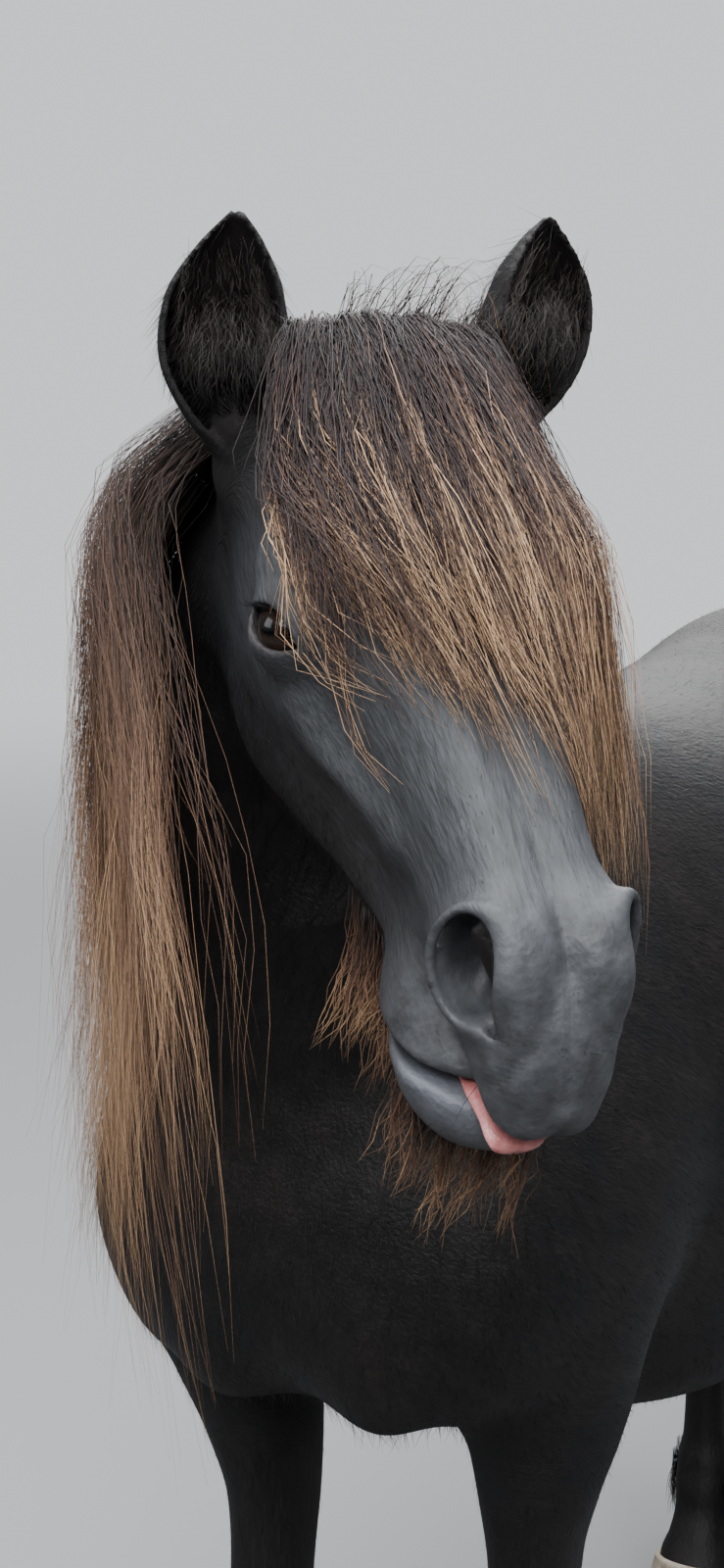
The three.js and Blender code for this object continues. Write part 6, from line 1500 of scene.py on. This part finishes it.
def whisker_guides(count, seed):
    """Short whiskers on the chin and above the lips."""
    rng = np.random.default_rng(seed)
    low = rng.random(count) < 0.6
    u = np.where(low, 318 + 55 * rng.random(count), 335 + 45 * rng.random(count))
    x = either_way(rng, count, 36)
    w = np.where(low, -190.0, -40.0)
    toward = np.where(low, 1.0, -1.0)
    w = marched(x, u, w, toward, 0.5, 0.4, 160, -200.0, -40.0)
    on_skin = head_field(x, u, w) < 1.0
    x, u, w, toward = x[on_skin], u[on_skin], w[on_skin], toward[on_skin]
    root = np.stack([x, u, w], -1)
    out = unit(np.stack([x / 40, 0.7 + 0 * x, -0.9 * toward], -1))
    length = (9 + 15 * rng.random(len(x)))[:, None]
    p = np.stack([root - out * 1.5, root + out * length * 0.5,
                  root + out * length + np.array([0, 0.2, -0.15]) * length], 1)
    return from_head(p)


def crown_wisps(count, seed):
    """Loose hairs that stand up in arches over the poll and fall to either side."""
    rng = np.random.default_rng(seed)
    x = -26 + 60 * rng.random(count)
    root = np.stack([x, -14 + 24 * rng.random(count), np.full(count, -4.0)], -1)
    fall = either_way(rng, count, 42) + 34
    height = 4 + 36 * rng.random(count)
    stations = []
    for k in (0.0, 0.2, 0.45, 0.7, 1.0):
        arch = np.sin(k * math.pi * 0.95) * (height + 20)
        stations.append(root + np.stack([fall * k, 10 * k + 22 * k * k - 0.5 * arch, arch], -1))
    return from_head(np.stack(stations, 1))


for side, word in SIDE_WORDS.items():
    loose_hair(f"ear_hair_{word}", ear_hair_guides(side, count=int(520 * DENSITY), seed=81 + side),
               FUR, "coat", seed=85, width=0.6, tone=(0.45, 1.0), wave=1.8, steps=5)
    loose_hair(f"ear_base_{word}", ear_base_guides(side, count=int(460 * DENSITY), seed=101 + side),
               FUR, "coat", seed=87, width=0.7, tone=(0.2, 0.9), wave=2.5, steps=6)
    loose_hair(f"lashes_{word}", lash_guides(side, count=34, seed=91),
               FUR, "coat", seed=92, width=0.55, tone=(0.1, 0.2), wave=0.3, steps=4)
loose_hair("whiskers", whisker_guides(count=110, seed=95),
           FUR, "coat", seed=96, width=0.32, tone=(0.5, 0.8), wave=0.8, steps=5)
loose_hair("wisps", crown_wisps(count=130, seed=97),
           FORELOCK_HAIR, "mane", seed=98, width=0.42, tone=(0.35, 0.95), wave=5.0, steps=10)

# Camera at the photo's place and angle
CAMERA_AT = (0.6654, -1.5962, 1.2)
VIEW_TURN = math.radians(30)
VIEW_DROP = math.atan(450 / 2400)
camera_data = bpy.data.cameras.new("camera")
camera_data.lens = 54.0
camera_data.sensor_width = 36.0
camera_data.sensor_fit = "AUTO"


def placed(name, data, at, forward):
    """An object at a place in metres that looks along a direction."""
    obj = bpy.data.objects.new(name, data)
    bpy.context.scene.collection.objects.link(obj)
    obj.location = Vector(at)
    obj.rotation_mode = "QUATERNION"
    obj.rotation_quaternion = Vector(forward).to_track_quat("-Z", "Y")
    return obj


level = math.cos(VIEW_DROP)
ahead = (-math.sin(VIEW_TURN) * level, math.cos(VIEW_TURN) * level, -math.sin(VIEW_DROP))
bpy.context.scene.camera = placed("camera", camera_data, CAMERA_AT, ahead)

# A pale floor that fades into an evenly pale background, and throws little light back up
PALE = (0.92, 0.94, 0.965)
FLOOR = 60.0
FADE_NEAR, FADE_FAR = 1.6, 6.5
floor_mesh = bpy.data.meshes.new("floor")
floor_mesh.from_pydata([(-FLOOR, -FLOOR, 0), (FLOOR, -FLOOR, 0), (FLOOR, FLOOR, 0), (-FLOOR, FLOOR, 0)],
                       [], [(0, 1, 2, 3)])
floor = bpy.data.objects.new("floor", floor_mesh)
bpy.context.scene.collection.objects.link(floor)
look = Look("floor")
floor_mesh.materials.append(look.set({"Base Color": (0.30, 0.30, 0.305), "Roughness": 0.9,
                                      "Specular IOR Level": 0.1}))
away = look.add("VectorMath", {0: look.place()}, "Value", operation="LENGTH")
fade = look.add("MapRange", {"From Min": FADE_NEAR, "From Max": FADE_FAR, "Value": away}, "Result",
                interpolation_type="SMOOTHSTEP")
seen = look.add("LightPath", {}, "Is Camera Ray")
near_or_far = look.add("MixShader", {0: look.math("MULTIPLY", seen, fade), 1: look.shader.outputs["BSDF"],
                                     2: look.add("Emission", {"Color": PALE})})
unseen = look.add("BsdfDiffuse", {"Color": (0.10, 0.10, 0.10)})
look.feed(look.nodes["Material Output"].inputs["Surface"],
          look.add("MixShader", {0: seen, 1: unseen, 2: near_or_far}))

# The sky gives soft light, and is seen as plain pale
world = bpy.data.worlds.new("studio")
bpy.context.scene.world = world
world.use_nodes = True
sky = Nodes(world.node_tree)
light = sky.nodes["Background"]
light.inputs["Color"].default_value = (0.84, 0.90, 1.0, 1)
light.inputs["Strength"].default_value = 0.17
shown = sky.add("MixShader", {0: sky.add("LightPath", {}, "Is Camera Ray"), 1: light.outputs["Background"],
                              2: sky.add("Background", {"Color": PALE})})
sky.feed(sky.nodes["World Output"].inputs["Surface"], shown)


def area_light(name, at, target, size, power, color=(1, 1, 1)):
    data = bpy.data.lights.new(name, "AREA")
    data.shape = "RECTANGLE"
    data.size, data.size_y = size
    data.energy = power
    data.color = color
    placed(name, data, at, Vector(target) - Vector(at))


area_light("overhead", at=(0.1, -0.3, 3.4), target=(0, -0.2, 0.7),
           size=(3.2, 3.2), power=250, color=(0.95, 0.98, 1.0))
area_light("front_sky", at=(1.3, -2.9, 3.0), target=(0, -0.5, 1.0),
           size=(3.6, 1.8), power=210, color=(0.96, 0.98, 1.0))
area_light("left_soft", at=(3.2, -2.2, 2.4), target=(0, -0.3, 0.8),
           size=(2.0, 1.6), power=14, color=(1.0, 0.98, 0.95))
area_light("right_soft", at=(-2.6, -2.4, 2.3), target=(0, -0.4, 0.9),
           size=(2.0, 1.6), power=26)
area_light("rear_soft", at=(-1.2, 3.0, 2.8), target=(0, 0.2, 0.8),
           size=(2.6, 2.0), power=120)
